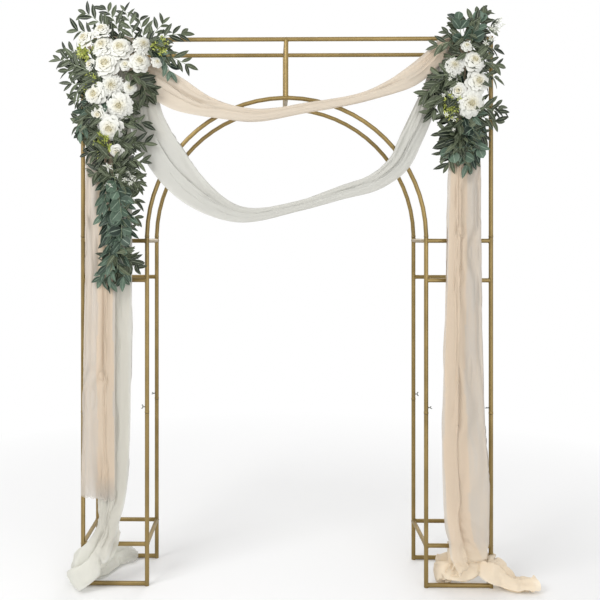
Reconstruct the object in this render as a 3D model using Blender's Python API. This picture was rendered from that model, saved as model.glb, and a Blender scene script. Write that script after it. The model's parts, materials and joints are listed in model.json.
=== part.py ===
"""A free-standing wedding arch: two square towers of round gold tube carry a square top and a round inner arch,
dressed with two long chiffon drapes and two arrangements of silk flowers.

Everything is modelled about the middle of the frame, with X across the arch, Y from front to back and Z up, and
hangs on one empty that puts the middle of the whole dressed arch at the origin.
"""

import math

import bmesh
import bpy
from mathutils import Matrix, Vector

# Driving dimensions of the frame, in metres
FRAME_HEIGHT = 2.40
FRAME_WIDTH = 1.80
FRAME_DEPTH = 0.30
CLEAR_WIDTH = 1.20
TUBE_RADIUS = 0.0095
LOWER_RAIL_HEIGHT = 0.182
LEG_SEAM_HEIGHT = 0.755
MIDDLE_RAIL_HEIGHT = 1.338
SPRING_RAIL_HEIGHT = 1.510
ARCH_SPRING_HEIGHT = 1.525
ARCH_STUB = 0.012
GAP = 0.0003
SPIGOT_RADIUS = 0.0074
SPIGOT_LENGTH = 0.030

# How finely the round tubes are faceted
TUBE_SIDES = 16
ARCH_STEPS = 16
COPING_SIDES = 16
SPIGOT_SIDES = 8

# What follows from them
OUTER_X = FRAME_WIDTH / 2 - TUBE_RADIUS
INNER_X = CLEAR_WIDTH / 2 + TUBE_RADIUS
PLANE_Y = FRAME_DEPTH / 2 - TUBE_RADIUS
TOP_RAIL_HEIGHT = FRAME_HEIGHT - TUBE_RADIUS
APEX_HEIGHT = ARCH_SPRING_HEIGHT + INNER_X
FRAME_FRONT = -FRAME_DEPTH / 2

# The middle of the frame, seen from the middle of the floor area that the dressed arch takes up
FRAME_MIDDLE = Vector((-0.068, 0.0765, 0.0))

# Depths in front of the frame at which the drapes, the leaves and the blooms lie one before the other
DRAPE_BACK = FRAME_FRONT - 0.0010
DRAPE_FRONT = FRAME_FRONT - 0.0520
LEAF_BACK = DRAPE_FRONT - 0.0010
LEAF_FRONT = LEAF_BACK - 0.0520
BLOOM_BACK = LEAF_FRONT - 0.0006

SIDES = {"left": -1, "right": 1}
FACES = {"front": -1, "back": 1}


def clear_scene():
    """Removes what the file opened with."""
    for old in list(bpy.data.objects):
        bpy.data.objects.remove(old)


def make_collection(name):
    """A collection in the scene."""
    made = bpy.data.collections.new(name)
    bpy.context.scene.collection.children.link(made)
    return made


def make_material(name, colour, roughness, metallic=0.0):
    """A plain finish."""
    made = bpy.data.materials.new(name)
    made.use_nodes = True
    shader = made.node_tree.nodes["Principled BSDF"]
    shader.inputs["Base Color"].default_value = (*colour, 1.0)
    shader.inputs["Roughness"].default_value = roughness
    shader.inputs["Metallic"].default_value = metallic
    return made


clear_scene()
ARCH = make_collection("wedding_arch")
MIDDLE = bpy.data.objects.new("frame_middle", None)
MIDDLE.location = FRAME_MIDDLE
ARCH.objects.link(MIDDLE)

GOLD = make_material("gold_finish", (0.47, 0.33, 0.12), 0.35, 0.9)
CHAMPAGNE = make_material("champagne_chiffon", (0.80, 0.66, 0.52), 0.9)
IVORY = make_material("ivory_chiffon", (0.80, 0.79, 0.75), 0.9)
LEAF = make_material("silk_leaf", (0.06, 0.11, 0.08), 0.7)
PETAL = make_material("silk_petal", (0.83, 0.80, 0.74), 0.8)


def finish(piece, name, material, sharp_degrees=40):
    """Names a finished solid, gives it its material and smooth shading and hangs it on the frame's middle."""
    piece.name = name
    piece.data.name = name
    piece.data.materials.clear()
    piece.data.materials.append(material)
    piece.data.shade_smooth()
    piece.data.set_sharp_from_angle(angle=math.radians(sharp_degrees))
    piece.parent = MIDDLE
    return piece


def evaluated_copy(source):
    """A new mesh object from an object with its modifiers or bevel applied, in place of that object."""
    bpy.context.view_layer.update()
    depsgraph = bpy.context.evaluated_depsgraph_get()
    mesh = bpy.data.meshes.new_from_object(source.evaluated_get(depsgraph))
    made = bpy.data.objects.new(source.name, mesh)
    made.matrix_world = source.matrix_world
    ARCH.objects.link(made)
    bpy.data.objects.remove(source)
    return made


def weld(piece):
    """Joins the loose caps of a swept tube to its wall."""
    work = bmesh.new()
    work.from_mesh(piece.data)
    bmesh.ops.remove_doubles(work, verts=work.verts, dist=0.00005)
    bmesh.ops.recalc_face_normals(work, faces=work.faces)
    work.to_mesh(piece.data)
    work.free()
    return piece


def make_tube(points, radius=TUBE_RADIUS, half_step=False, sides=TUBE_SIDES):
    """A round tube along the points. half_step turns its facets by half a side, so that a butting tube's flats
    lie inside the edges of the tube that it meets."""
    curve = bpy.data.curves.new("tube", "CURVE")
    curve.dimensions = "3D"
    curve.bevel_depth = radius
    curve.bevel_resolution = (sides - 4) // 2
    curve.use_fill_caps = True
    spline = curve.splines.new("POLY")
    spline.points.add(len(points) - 1)
    for place, point in zip(spline.points, points):
        place.co = (*point, 1.0)
        place.tilt = math.pi / sides if half_step else 0.0
    made = bpy.data.objects.new("tube", curve)
    ARCH.objects.link(made)
    return weld(evaluated_copy(made))


def apply_boolean(piece, other, operation):
    """Joins another solid to a piece or cuts it away, and removes the other solid."""
    modifier = piece.modifiers.new("join", "BOOLEAN")
    modifier.operation = operation
    modifier.solver = "EXACT"
    modifier.object = other
    made = evaluated_copy(piece)
    bpy.data.objects.remove(other)
    return made


def fuse(pieces):
    """One solid from several that overlap."""
    made = pieces[0]
    for other in pieces[1:]:
        made = apply_boolean(made, other, "UNION")
    return made


def cope(piece, centre, axis):
    """Cuts a tube's end to sit on another tube that runs along the axis through the centre."""
    radius = (TUBE_RADIUS + GAP) / math.cos(math.pi / COPING_SIDES)
    turn = Matrix.Rotation(math.pi / 2, 4, "Y") if axis == "X" else Matrix.Identity(4)
    bpy.ops.mesh.primitive_cylinder_add(vertices=COPING_SIDES, radius=radius, depth=0.12)
    cutter = bpy.context.object
    cutter.matrix_world = Matrix.Translation(centre) @ turn
    return apply_boolean(piece, cutter, "DIFFERENCE")


def add_spigot(tube, x, y, seam):
    """Gives a tube's upper end the narrow plug that goes into the tube above it."""
    plug = make_tube([(x, y, seam - SPIGOT_LENGTH), (x, y, seam + SPIGOT_LENGTH)], SPIGOT_RADIUS, sides=SPIGOT_SIDES)
    return apply_boolean(tube, plug, "UNION")


def cut_socket(tube, x, y, seam):
    """Opens the foot of a tube for the plug of the tube below it."""
    top = seam + SPIGOT_LENGTH + GAP
    hole = make_tube([(x, y, seam - SPIGOT_LENGTH), (x, y, top)], SPIGOT_RADIUS + GAP, sides=SPIGOT_SIDES)
    return apply_boolean(tube, hole, "DIFFERENCE")


def rail(side, face, height, inner_x, outer_x):
    """A level tube along X between two uprights."""
    y = FACES[face] * PLANE_Y
    return make_tube([(side * inner_x, y, height), (side * outer_x, y, height)], half_step=True)


def upright(side, face, x, low, high):
    """A standing tube."""
    y = FACES[face] * PLANE_Y
    return make_tube([(side * x, y, low), (side * x, y, high)])


def make_leg_panel(name, side, face, low, high, rail_heights):
    """A welded ladder: an inner and an outer upright joined by two rails. A spigot stands on each upright, and an
    upright that starts above the floor has a socket in its foot."""
    tubes = [upright(side, face, INNER_X, low, high), upright(side, face, OUTER_X, low, high)]
    tubes += [rail(side, face, height, INNER_X, OUTER_X) for height in rail_heights]
    ladder = fuse(tubes)
    for x in (side * INNER_X, side * OUTER_X):
        ladder = add_spigot(ladder, x, FACES[face] * PLANE_Y, high)
        if low > 0:
            ladder = cut_socket(ladder, x, FACES[face] * PLANE_Y, low)
    finish(ladder, name, GOLD)


def make_corner(name, side, face):
    """The outer upright above the spring line with its half of the top rail."""
    standing = upright(side, face, OUTER_X, ARCH_SPRING_HEIGHT + GAP, FRAME_HEIGHT)
    across = rail(side, face, TOP_RAIL_HEIGHT, GAP / 2, OUTER_X)
    bend = fuse([standing, across])
    finish(cut_socket(bend, side * OUTER_X, FACES[face] * PLANE_Y, ARCH_SPRING_HEIGHT), name, GOLD)


def make_arch_half(name, side, face):
    """A quarter of a circle from the inner upright to the top of the arch, stopping just short of its twin. Both
    ends are short straight stubs, so that they are cut square."""
    y = FACES[face] * PLANE_Y
    stub = math.asin(ARCH_STUB / INNER_X)
    points = [(side * INNER_X, y, ARCH_SPRING_HEIGHT + GAP)]
    for step in range(ARCH_STEPS + 1):
        angle = stub + (math.pi / 2 - 2 * stub) * step / ARCH_STEPS
        points.append((side * INNER_X * math.cos(angle), y, ARCH_SPRING_HEIGHT + INNER_X * math.sin(angle)))
    points.append((side * GAP / 2, y, points[-1][2]))
    finish(cut_socket(make_tube(points), side * INNER_X, y, ARCH_SPRING_HEIGHT), name, GOLD)


def make_post(name, face):
    """The short upright that ties the top of the arch to the top rail, coped to both."""
    y = FACES[face] * PLANE_Y
    post = make_tube([(0, y, APEX_HEIGHT), (0, y, TOP_RAIL_HEIGHT)])
    for height in (APEX_HEIGHT, TOP_RAIL_HEIGHT):
        post = cope(post, (0, y, height), "X")
    finish(post, name, GOLD)


def make_tie(name, x, height):
    """A level tube from the front frame to the back one, coped to the uprights and the rails that it meets."""
    tie = make_tube([(x, -PLANE_Y, height), (x, PLANE_Y, height)], half_step=True)
    for y in (-PLANE_Y, PLANE_Y):
        for axis in ("X", "Z"):
            tie = cope(tie, (x, y, height), axis)
    finish(tie, name, GOLD)


def make_frame():
    """The whole gold frame, front and back alike."""
    for face in FACES:
        for word, side in SIDES.items():
            make_leg_panel(
                f"{face}_{word}_lower_leg", side, face, 0.0, LEG_SEAM_HEIGHT, (TUBE_RADIUS, LOWER_RAIL_HEIGHT)
            )
            make_leg_panel(
                f"{face}_{word}_upper_leg",
                side,
                face,
                LEG_SEAM_HEIGHT + GAP,
                ARCH_SPRING_HEIGHT,
                (MIDDLE_RAIL_HEIGHT, SPRING_RAIL_HEIGHT),
            )
            make_corner(f"{face}_{word}_corner", side, face)
            make_arch_half(f"{face}_{word}_arch_half", side, face)
        make_post(f"{face}_centre_post", face)
    for word, side in SIDES.items():
        for place, x in (("inner", INNER_X), ("outer", OUTER_X)):
            make_tie(f"{word}_{place}_lower_tie", side * x, LOWER_RAIL_HEIGHT)
            make_tie(f"{word}_{place}_spring_tie", side * x, SPRING_RAIL_HEIGHT)
        make_tie(f"{word}_top_tie", side * OUTER_X, TOP_RAIL_HEIGHT)
    make_tie("top_centre_tie", 0.0, TOP_RAIL_HEIGHT)
    make_tie("arch_apex_tie", 0.0, APEX_HEIGHT)


def make_loft(rings):
    """A closed solid through rings that have as many points each."""
    work = bmesh.new()
    rows = [[work.verts.new(point) for point in ring] for ring in rings]
    for low, high in zip(rows, rows[1:]):
        for a in range(len(low)):
            b = (a + 1) % len(low)
            work.faces.new((low[a], low[b], high[b], high[a]))
    work.faces.new(reversed(rows[0]))
    work.faces.new(rows[-1])
    bmesh.ops.triangulate(work, faces=work.faces)
    bmesh.ops.recalc_face_normals(work, faces=work.faces)
    mesh = bpy.data.meshes.new("loft")
    work.to_mesh(mesh)
    work.free()
    made = bpy.data.objects.new("loft", mesh)
    ARCH.objects.link(made)
    return made


def through(stations, steps):
    """Rows of numbers along a smooth Catmull-Rom curve through the stations."""
    rows = []
    last = len(stations) - 1
    for index in range(steps + 1):
        along = index / steps * last
        start = min(int(along), last - 1)
        t = along - start
        before, a, b, after = (stations[max(0, min(last, start + k))] for k in (-1, 0, 1, 2))
        row = []
        for p, q, r, s in zip(before, a, b, after):
            bend = (2 * p - 5 * q + 4 * r - s) * t * t + (3 * q - p - 3 * r + s) * t**3
            row.append(q + ((r - p) * t + bend) / 2)
        rows.append(row)
    return rows


# Chiffon swags: (x, height of the middle, width across the folds) from left to right
UPPER_SWAG = [
    (-0.640, 2.270, 0.100),
    (-0.470, 2.142, 0.140),
    (-0.330, 2.084, 0.085),
    (-0.150, 2.052, 0.056),
    (0.100, 2.086, 0.042),
    (0.370, 2.142, 0.040),
    (0.560, 2.228, 0.090),
    (0.648, 2.300, 0.080),
]
LOWER_SWAG = [
    (-0.600, 2.020, 0.150),
    (-0.522, 1.872, 0.150),
    (-0.405, 1.730, 0.110),
    (-0.220, 1.630, 0.066),
    (0.050, 1.655, 0.034),
    (0.330, 1.730, 0.066),
    (0.505, 1.850, 0.105),
    (0.590, 2.010, 0.088),
    (0.632, 2.190, 0.060),
]
SWAG_STEPS = 24
SWAG_SIDES = 12
SWAG_THICKNESS = 0.034
PLEAT_DEPTH = 0.18


def make_swag(name, material, stations):
    """A hanging bundle of chiffon: an oval section, dented by its folds, swept along the line that it hangs in."""
    rows = through(stations, SWAG_STEPS)
    middle_y = DRAPE_BACK - SWAG_THICKNESS / 2
    rings = []
    for index, (x, z, width) in enumerate(rows):
        before = Vector((*rows[max(index - 1, 0)][:2],))
        after = Vector((*rows[min(index + 1, SWAG_STEPS)][:2],))
        run = (after - before).normalized()
        across = Vector((-run.y, run.x))
        ring = []
        for step in range(SWAG_SIDES):
            angle = 2 * math.pi * step / SWAG_SIDES
            dent = 1 - PLEAT_DEPTH * (step % 2)
            out = math.cos(angle) * width / 2
            deep = math.sin(angle) * SWAG_THICKNESS / 2 * dent
            ring.append((x + across.x * out, middle_y + deep, z + across.y * out))
        rings.append(ring)
    finish(make_loft(rings), name, material)


# Chiffon falls: (height, left edge, right edge) from the top down
LEFT_FALL = [
    (2.330, -0.850, -0.690),
    (1.900, -0.862, -0.672),
    (1.250, -0.868, -0.668),
    (0.850, -0.872, -0.669),
    (0.480, -0.884, -0.680),
    (0.330, -0.850, -0.697),
    (0.166, -0.880, -0.725),
]
RIGHT_FALL = [
    (2.330, 0.705, 0.830),
    (1.900, 0.697, 0.828),
    (1.380, 0.687, 0.836),
    (0.825, 0.663, 0.846),
    (0.600, 0.662, 0.862),
    (0.330, 0.668, 0.875),
    (0.166, 0.695, 0.880),
]
FALL_STEPS = 10
FALL_PLEATS = 4
FALL_PLEAT_STEPS = 4
FALL_THICKNESS = 0.040


def make_fall(name, material, stations):
    """A gathered curtain of chiffon: a flat back near the frame and rounded pleats in front, all the way down."""
    rings = []
    for height, left, right in through(stations, FALL_STEPS):
        steps = FALL_PLEATS * FALL_PLEAT_STEPS
        front = []
        for step in range(steps + 1):
            share = step / steps
            swell = abs(math.sin(math.pi * FALL_PLEATS * share))
            edge = min(1.0, 4 * share, 4 * (1 - share))
            depth = FALL_THICKNESS * (0.35 + 0.30 * edge + 0.35 * swell)
            front.append((left + (right - left) * share, DRAPE_BACK - depth, height))
        back = [(right, DRAPE_BACK, height), (left, DRAPE_BACK, height)]
        rings.append(front + back)
    finish(make_loft(rings), name, material)


# Chiffon on the floor: the outline of each heap, anticlockwise from above, and the place and height of its top
LEFT_PUDDLE = [
    (-0.690, 0.115),
    (-0.705, 0.160),
    (-0.790, 0.130),
    (-0.860, 0.085),
    (-0.940, 0.060),
    (-0.982, -0.010),
    (-0.965, -0.100),
    (-0.915, -0.175),
    (-0.850, -0.195),
    (-0.795, -0.180),
    (-0.790, -0.080),
    (-0.765, 0.030),
]
LEFT_PUDDLE_TOP = (-0.830, -0.168, 0.165)
RIGHT_PUDDLE = [
    (1.150, -0.105),
    (1.090, -0.010),
    (1.000, 0.050),
    (0.900, 0.080),
    (0.790, 0.100),
    (0.705, 0.070),
    (0.672, -0.010),
    (0.690, -0.100),
    (0.760, -0.175),
    (0.880, -0.200),
    (0.975, -0.205),
    (1.060, -0.240),
]
RIGHT_PUDDLE_TOP = (0.790, -0.168, 0.165)
HEAP_RISE = ((1.0, 0.0), (0.96, 0.16), (0.80, 0.34), (0.55, 0.62), (0.32, 0.88), (0.14, 1.0))


def make_puddle(name, material, outline, top):
    """A heap of chiffon on the floor, rising from its outline to its top, with the tubes that it lies over
    and around cut out of it."""
    rings = []
    for spread, rise in HEAP_RISE:
        ring = [(top[0] + (x - top[0]) * spread, top[1] + (y - top[1]) * spread, top[2] * rise) for x, y in outline]
        rings.append(ring)
    heap = make_loft(rings)
    side = math.copysign(1, top[0])
    clear = TUBE_RADIUS + 0.001
    for y in (-PLANE_Y, PLANE_Y):
        for x in (OUTER_X, INNER_X):
            standing = make_tube([(side * x, y, -0.05), (side * x, y, 0.25)], clear)
            heap = apply_boolean(heap, standing, "DIFFERENCE")
        lying = make_tube([(side * INNER_X, y, TUBE_RADIUS), (side * OUTER_X, y, TUBE_RADIUS)], clear)
        heap = apply_boolean(heap, lying, "DIFFERENCE")
    finish(heap, name, material)


# Leaf masses: the middle of each and the tips of its longest leaves, anticlockwise as seen from the front
LEFT_LEAVES = (
    (-0.740, 2.230),
    [
        (-0.390, 2.245),
        (-0.405, 2.409),
        (-0.505, 2.475),
        (-0.642, 2.509),
        (-0.700, 2.535),
        (-0.787, 2.545),
        (-0.890, 2.515),
        (-0.985, 2.345),
        (-1.014, 2.305),
        (-0.962, 2.190),
        (-0.945, 2.115),
        (-0.935, 2.010),
        (-0.800, 1.960),
        (-0.660, 1.960),
        (-0.565, 1.980),
        (-0.585, 2.068),
    ],
)
LEFT_TRAIL = (
    (-0.728, 1.680),
    [
        (-0.560, 1.880),
        (-0.600, 1.945),
        (-0.860, 1.945),
        (-0.890, 1.888),
        (-0.867, 1.797),
        (-0.850, 1.700),
        (-0.824, 1.609),
        (-0.822, 1.500),
        (-0.822, 1.401),
        (-0.837, 1.309),
        (-0.752, 1.287),
        (-0.690, 1.315),
        (-0.606, 1.376),
        (-0.641, 1.440),
        (-0.641, 1.558),
        (-0.604, 1.651),
        (-0.574, 1.790),
    ],
)
RIGHT_LEAVES = (
    (0.765, 2.150),
    [
        (0.941, 2.079),
        (0.930, 2.260),
        (0.924, 2.329),
        (0.907, 2.440),
        (0.859, 2.515),
        (0.741, 2.480),
        (0.648, 2.405),
        (0.596, 2.339),
        (0.588, 2.213),
        (0.557, 2.127),
        (0.581, 2.067),
        (0.620, 1.960),
        (0.656, 1.800),
        (0.741, 1.840),
        (0.805, 1.805),
        (0.860, 1.920),
        (0.937, 2.030),
    ],
)
LEAF_NOTCH = 0.80
LEAF_RISE = ((0.45, 1.0), (0.80, 0.80), (1.0, 0.35), (0.86, 0.0))


def make_leaves(name, middle, tips):
    """A mass of leaf sprays: a star outline with a notch between each two tips, domed towards the front."""
    outline = []
    for tip, following in zip(tips, tips[1:] + tips[:1]):
        outline.append(tip)
        between = [(a + b) / 2 for a, b in zip(tip, following)]
        outline.append([m + (b - m) * LEAF_NOTCH for m, b in zip(middle, between)])
    rings = []
    for spread, rise in LEAF_RISE:
        y = LEAF_BACK + (LEAF_FRONT - LEAF_BACK) * rise
        ring = [(middle[0] + (x - middle[0]) * spread, y, middle[1] + (z - middle[1]) * spread) for x, z in outline]
        rings.append(ring)
    finish(make_loft(rings), name, LEAF)


# Blooms: (x, height, radius, how far forward the back of the head stands off the wired pad)
LEFT_UPPER_BLOOMS = [
    (-0.757, 2.256, 0.050, 0.003),
    (-0.757, 2.322, 0.052, 0.008),
    (-0.690, 2.316, 0.050, 0.001),
    (-0.782, 2.398, 0.038, 0.004),
    (-0.851, 2.360, 0.038, 0.002),
    (-0.612, 2.330, 0.040, 0.004),
    (-0.624, 2.258, 0.043, 0.007),
]
LEFT_LOWER_BLOOMS = [
    (-0.737, 2.158, 0.040, 0.006),
    (-0.806, 2.123, 0.048, 0.003),
    (-0.705, 2.078, 0.055, 0.001),
    (-0.794, 2.046, 0.038, 0.007),
    (-0.745, 1.990, 0.053, 0.004),
]
RIGHT_BLOOMS = [
    (0.771, 2.087, 0.056, 0.002),
    (0.795, 2.179, 0.048, 0.006),
    (0.715, 2.135, 0.037, 0.004),
    (0.783, 2.267, 0.041, 0.003),
    (0.703, 2.245, 0.036, 0.007),
    (0.753, 2.331, 0.028, 0.004),
]
BLOOM_SIDES = 10
BLOOM_DEPTH = 0.95
BLOOM_PROFILE = ((0.45, 0.0), (1.0, 0.55), (0.86, 0.90), (0.45, 1.0), (0.20, 0.90))
BLOOM_LOBES = 5
LOBE_DEPTH = 0.05
BLOOM_TURN = math.radians(137)
PAD_THICKNESS = 0.009
PAD_SHARE = 0.5


def make_bloom(x, z, radius, forward, turn):
    """A rose head: a bowl that opens to a lobed outer row of petals round a sunk heart."""
    rings = []
    for spread, rise in BLOOM_PROFILE:
        ring = []
        for step in range(BLOOM_SIDES):
            angle = 2 * math.pi * step / BLOOM_SIDES
            lobe = 1 + LOBE_DEPTH * math.cos(BLOOM_LOBES * angle)
            reach = radius * spread * lobe
            y = BLOOM_BACK - forward - radius * BLOOM_DEPTH * rise
            ring.append((x + reach * math.cos(angle + turn), y, z + reach * math.sin(angle + turn)))
        rings.append(ring)
    return make_loft(rings)


def make_pad(blooms):
    """The thin pad behind a group of blooms: the tight outline of a small disc behind each head."""
    work = bmesh.new()
    for x, z, radius, _ in blooms:
        for step in range(BLOOM_SIDES):
            angle = 2 * math.pi * step / BLOOM_SIDES
            reach = radius * PAD_SHARE
            for y in (BLOOM_BACK, BLOOM_BACK - PAD_THICKNESS):
                work.verts.new((x + reach * math.cos(angle), y, z + reach * math.sin(angle)))
    hull = bmesh.ops.convex_hull(work, input=work.verts)
    spare = {v for v in [*hull["geom_interior"], *hull["geom_unused"]] if isinstance(v, bmesh.types.BMVert)}
    bmesh.ops.delete(work, geom=list(spare), context="VERTS")
    bmesh.ops.recalc_face_normals(work, faces=work.faces)
    mesh = bpy.data.meshes.new("pad")
    work.to_mesh(mesh)
    work.free()
    made = bpy.data.objects.new("pad", mesh)
    ARCH.objects.link(made)
    return made


def make_blooms(name, blooms):
    """Rose heads wired side by side on a thin pad that follows them."""
    heads = [make_bloom(*bloom, index * BLOOM_TURN) for index, bloom in enumerate(blooms)]
    finish(fuse([make_pad(blooms), *heads]), name, PETAL)


def make_dressing():
    """The drapes and the flowers that the frame carries."""
    make_swag("upper_swag", CHAMPAGNE, UPPER_SWAG)
    make_swag("lower_swag", IVORY, LOWER_SWAG)
    make_fall("left_fall", CHAMPAGNE, LEFT_FALL)
    make_fall("right_fall", CHAMPAGNE, RIGHT_FALL)
    make_puddle("left_puddle", IVORY, LEFT_PUDDLE, LEFT_PUDDLE_TOP)
    make_puddle("right_puddle", CHAMPAGNE, RIGHT_PUDDLE, RIGHT_PUDDLE_TOP)
    make_leaves("left_leaves", *LEFT_LEAVES)
    make_leaves("left_trail", *LEFT_TRAIL)
    make_leaves("right_leaves", *RIGHT_LEAVES)
    make_blooms("left_upper_blooms", LEFT_UPPER_BLOOMS)
    make_blooms("left_lower_blooms", LEFT_LOWER_BLOOMS)
    make_blooms("right_blooms", RIGHT_BLOOMS)


make_frame()
make_dressing()
bpy.context.view_layer.update()
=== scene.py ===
"""The looks of the wedding arch: satin gold tube, two chiffon panels and two arrangements of silk flowers.

Everything is written about the middle of the gold frame, in metres, with X across the arch, Y from front to
back and Z up, and new_piece() moves it to where the frame stands.
"""

import json
import math
import random

import bmesh
import bpy
import numpy as np
from mathutils import Matrix, Vector


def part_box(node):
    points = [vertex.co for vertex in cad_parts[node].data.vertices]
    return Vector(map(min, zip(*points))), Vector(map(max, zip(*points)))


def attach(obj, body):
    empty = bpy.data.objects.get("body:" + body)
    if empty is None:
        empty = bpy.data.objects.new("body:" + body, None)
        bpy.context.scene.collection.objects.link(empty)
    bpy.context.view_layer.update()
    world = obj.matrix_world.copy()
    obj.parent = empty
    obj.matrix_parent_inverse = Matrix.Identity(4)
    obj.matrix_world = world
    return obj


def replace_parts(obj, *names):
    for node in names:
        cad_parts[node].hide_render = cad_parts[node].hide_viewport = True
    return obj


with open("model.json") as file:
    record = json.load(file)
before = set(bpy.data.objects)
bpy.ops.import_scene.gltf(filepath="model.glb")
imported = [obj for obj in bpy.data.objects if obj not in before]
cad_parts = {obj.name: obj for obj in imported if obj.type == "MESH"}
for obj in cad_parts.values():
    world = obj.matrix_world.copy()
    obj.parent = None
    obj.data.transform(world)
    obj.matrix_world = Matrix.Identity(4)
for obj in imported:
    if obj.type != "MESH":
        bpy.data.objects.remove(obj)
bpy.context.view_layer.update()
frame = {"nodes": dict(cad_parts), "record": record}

# The frame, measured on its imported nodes
FRONT_LEFT_LOW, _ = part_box("front_left_lower_leg")
_, BACK_RIGHT_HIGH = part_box("back_right_lower_leg")
MIDDLE = Vector(((FRONT_LEFT_LOW.x + BACK_RIGHT_HIGH.x) / 2, (FRONT_LEFT_LOW.y + BACK_RIGHT_HIGH.y) / 2, 0.0))
TUBE_RADIUS = 0.0095
OUTER_X = (BACK_RIGHT_HIGH.x - FRONT_LEFT_LOW.x) / 2 - TUBE_RADIUS
INNER_X = 0.6095
PLANE_Y = (BACK_RIGHT_HIGH.y - FRONT_LEFT_LOW.y) / 2 - TUBE_RADIUS
TOP_RAIL_Z = 2.3905
LOWER_RAIL_Z = 0.182
MIDDLE_RAIL_Z = 1.338
SPRING_RAIL_Z = 1.510
SPRING_Z = 1.525
APEX_Z = SPRING_Z + INNER_X
LEG_SEAM_Z = 0.755
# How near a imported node's loose triangles lie to each other, and the angle above which an edge stays sharp
JOIN_DISTANCE = 0.00005
SHARP_ANGLE = math.radians(40)

# The photograph's camera, about the middle of the frame
CAMERA_PLACE = (-0.0774, -3.3552, 1.5186)
CAMERA_YAW = math.radians(0.809)
CAMERA_LENS = 44.12
CAMERA_SHIFT = (0.0698, -0.102)
# Soft lamps: name, place, size and power
LAMPS = (
    ("key", (-3.0, -3.0, 3.9), 2.4, 122.0), ("fill", (1.6, -5.2, 1.8), 4.0, 102.0),
    ("back", (0.8, 3.6, 3.4), 3.0, 52.0),
)
SKY_STRENGTH = 0.62
WHITE = (1.0, 1.0, 1.0, 1.0)
FLOOR_COLOUR = (0.93, 0.93, 0.93, 1.0)
FLOOR_RADIUS = 14.0
FLOOR_DROP = 0.0005
# How far from the middle the floor begins to fade and is all white
FADE_START, FADE_END = 1.3, 3.2


# Helpers for node trees


def put(tree, kind, inputs=None, **settings):
    """A node of a tree with its settings, and its inputs set to plain values or joined to sockets."""
    made = tree.nodes.new(kind)
    for word, value in settings.items():
        setattr(made, word, value)
    feed(tree, made, inputs or {})
    return made


def feed(tree, node, inputs):
    """Sets a node's inputs to plain values or joins them to sockets."""
    for word, value in inputs.items():
        if isinstance(value, bpy.types.NodeSocket):
            tree.links.new(value, node.inputs[word])
        else:
            node.inputs[word].default_value = value


def maths(tree, operation, *values):
    """The result of a math node on plain values or sockets."""
    return put(tree, "ShaderNodeMath", dict(enumerate(values)), operation=operation).outputs[0]


def new_material(name):
    """A new material, its node tree and its main shader."""
    made = bpy.data.materials.new(name)
    made.use_nodes = True
    return made, made.node_tree, made.node_tree.nodes["Principled BSDF"]


def place_on(tree):
    """The place on the piece that a pattern reads."""
    return put(tree, "ShaderNodeTexCoord").outputs["Object"]


def told(tree, name):
    """The number that a mesh stores under a name, for a shader."""
    return put(tree, "ShaderNodeAttribute", attribute_name=name).outputs["Fac"]


def noise(tree, place, scale, detail):
    """A cloud of noise over a place."""
    return put(tree, "ShaderNodeTexNoise", {"Vector": place, "Scale": scale, "Detail": detail}).outputs["Fac"]


def bumped(tree, height, strength, distance):
    """A normal bumped by a height."""
    values = {"Height": height, "Strength": strength, "Distance": distance}
    return put(tree, "ShaderNodeBump", values).outputs["Normal"]


def ramp(tree, source, *stops):
    """A colour ramp on a value, from (position, colour) stops."""
    made = put(tree, "ShaderNodeValToRGB", {"Fac": source})
    while len(made.color_ramp.elements) < len(stops):
        made.color_ramp.elements.new(0.5)
    for element, (position, colour) in zip(made.color_ramp.elements, stops):
        element.position = position
        element.color = (*colour, 1.0)
    return made.outputs["Color"]


def blended(tree, share, first, second, kind="MIX"):
    """Two colours blended by a share."""
    values = {0: share, 6: first, 7: second}
    return put(tree, "ShaderNodeMix", values, data_type="RGBA", blend_type=kind).outputs[2]


def mixed(tree, share, first, second):
    """Two shaders mixed by a share."""
    return put(tree, "ShaderNodeMixShader", {"Fac": share, 1: first, 2: second}).outputs["Shader"]


def show(made):
    """Puts an object in the scene."""
    bpy.context.scene.collection.objects.link(made)
    return made


def new_piece(name, mesh):
    """A finished piece of the object from a mesh modelled about the middle of the frame."""
    mesh.transform(Matrix.Translation(MIDDLE))
    made = show(bpy.data.objects.new(name, mesh))
    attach(made, "root")
    return made


# Studio


def seen_directly(tree):
    """One for camera, glossy and transmission rays, so that gloss shows the backdrop that the eye sees."""
    path = put(tree, "ShaderNodeLightPath").outputs
    total = path["Is Camera Ray"]
    for kind in ("Is Glossy Ray", "Is Transmission Ray"):
        total = maths(tree, "MAXIMUM", total, path[kind])
    return total


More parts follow.
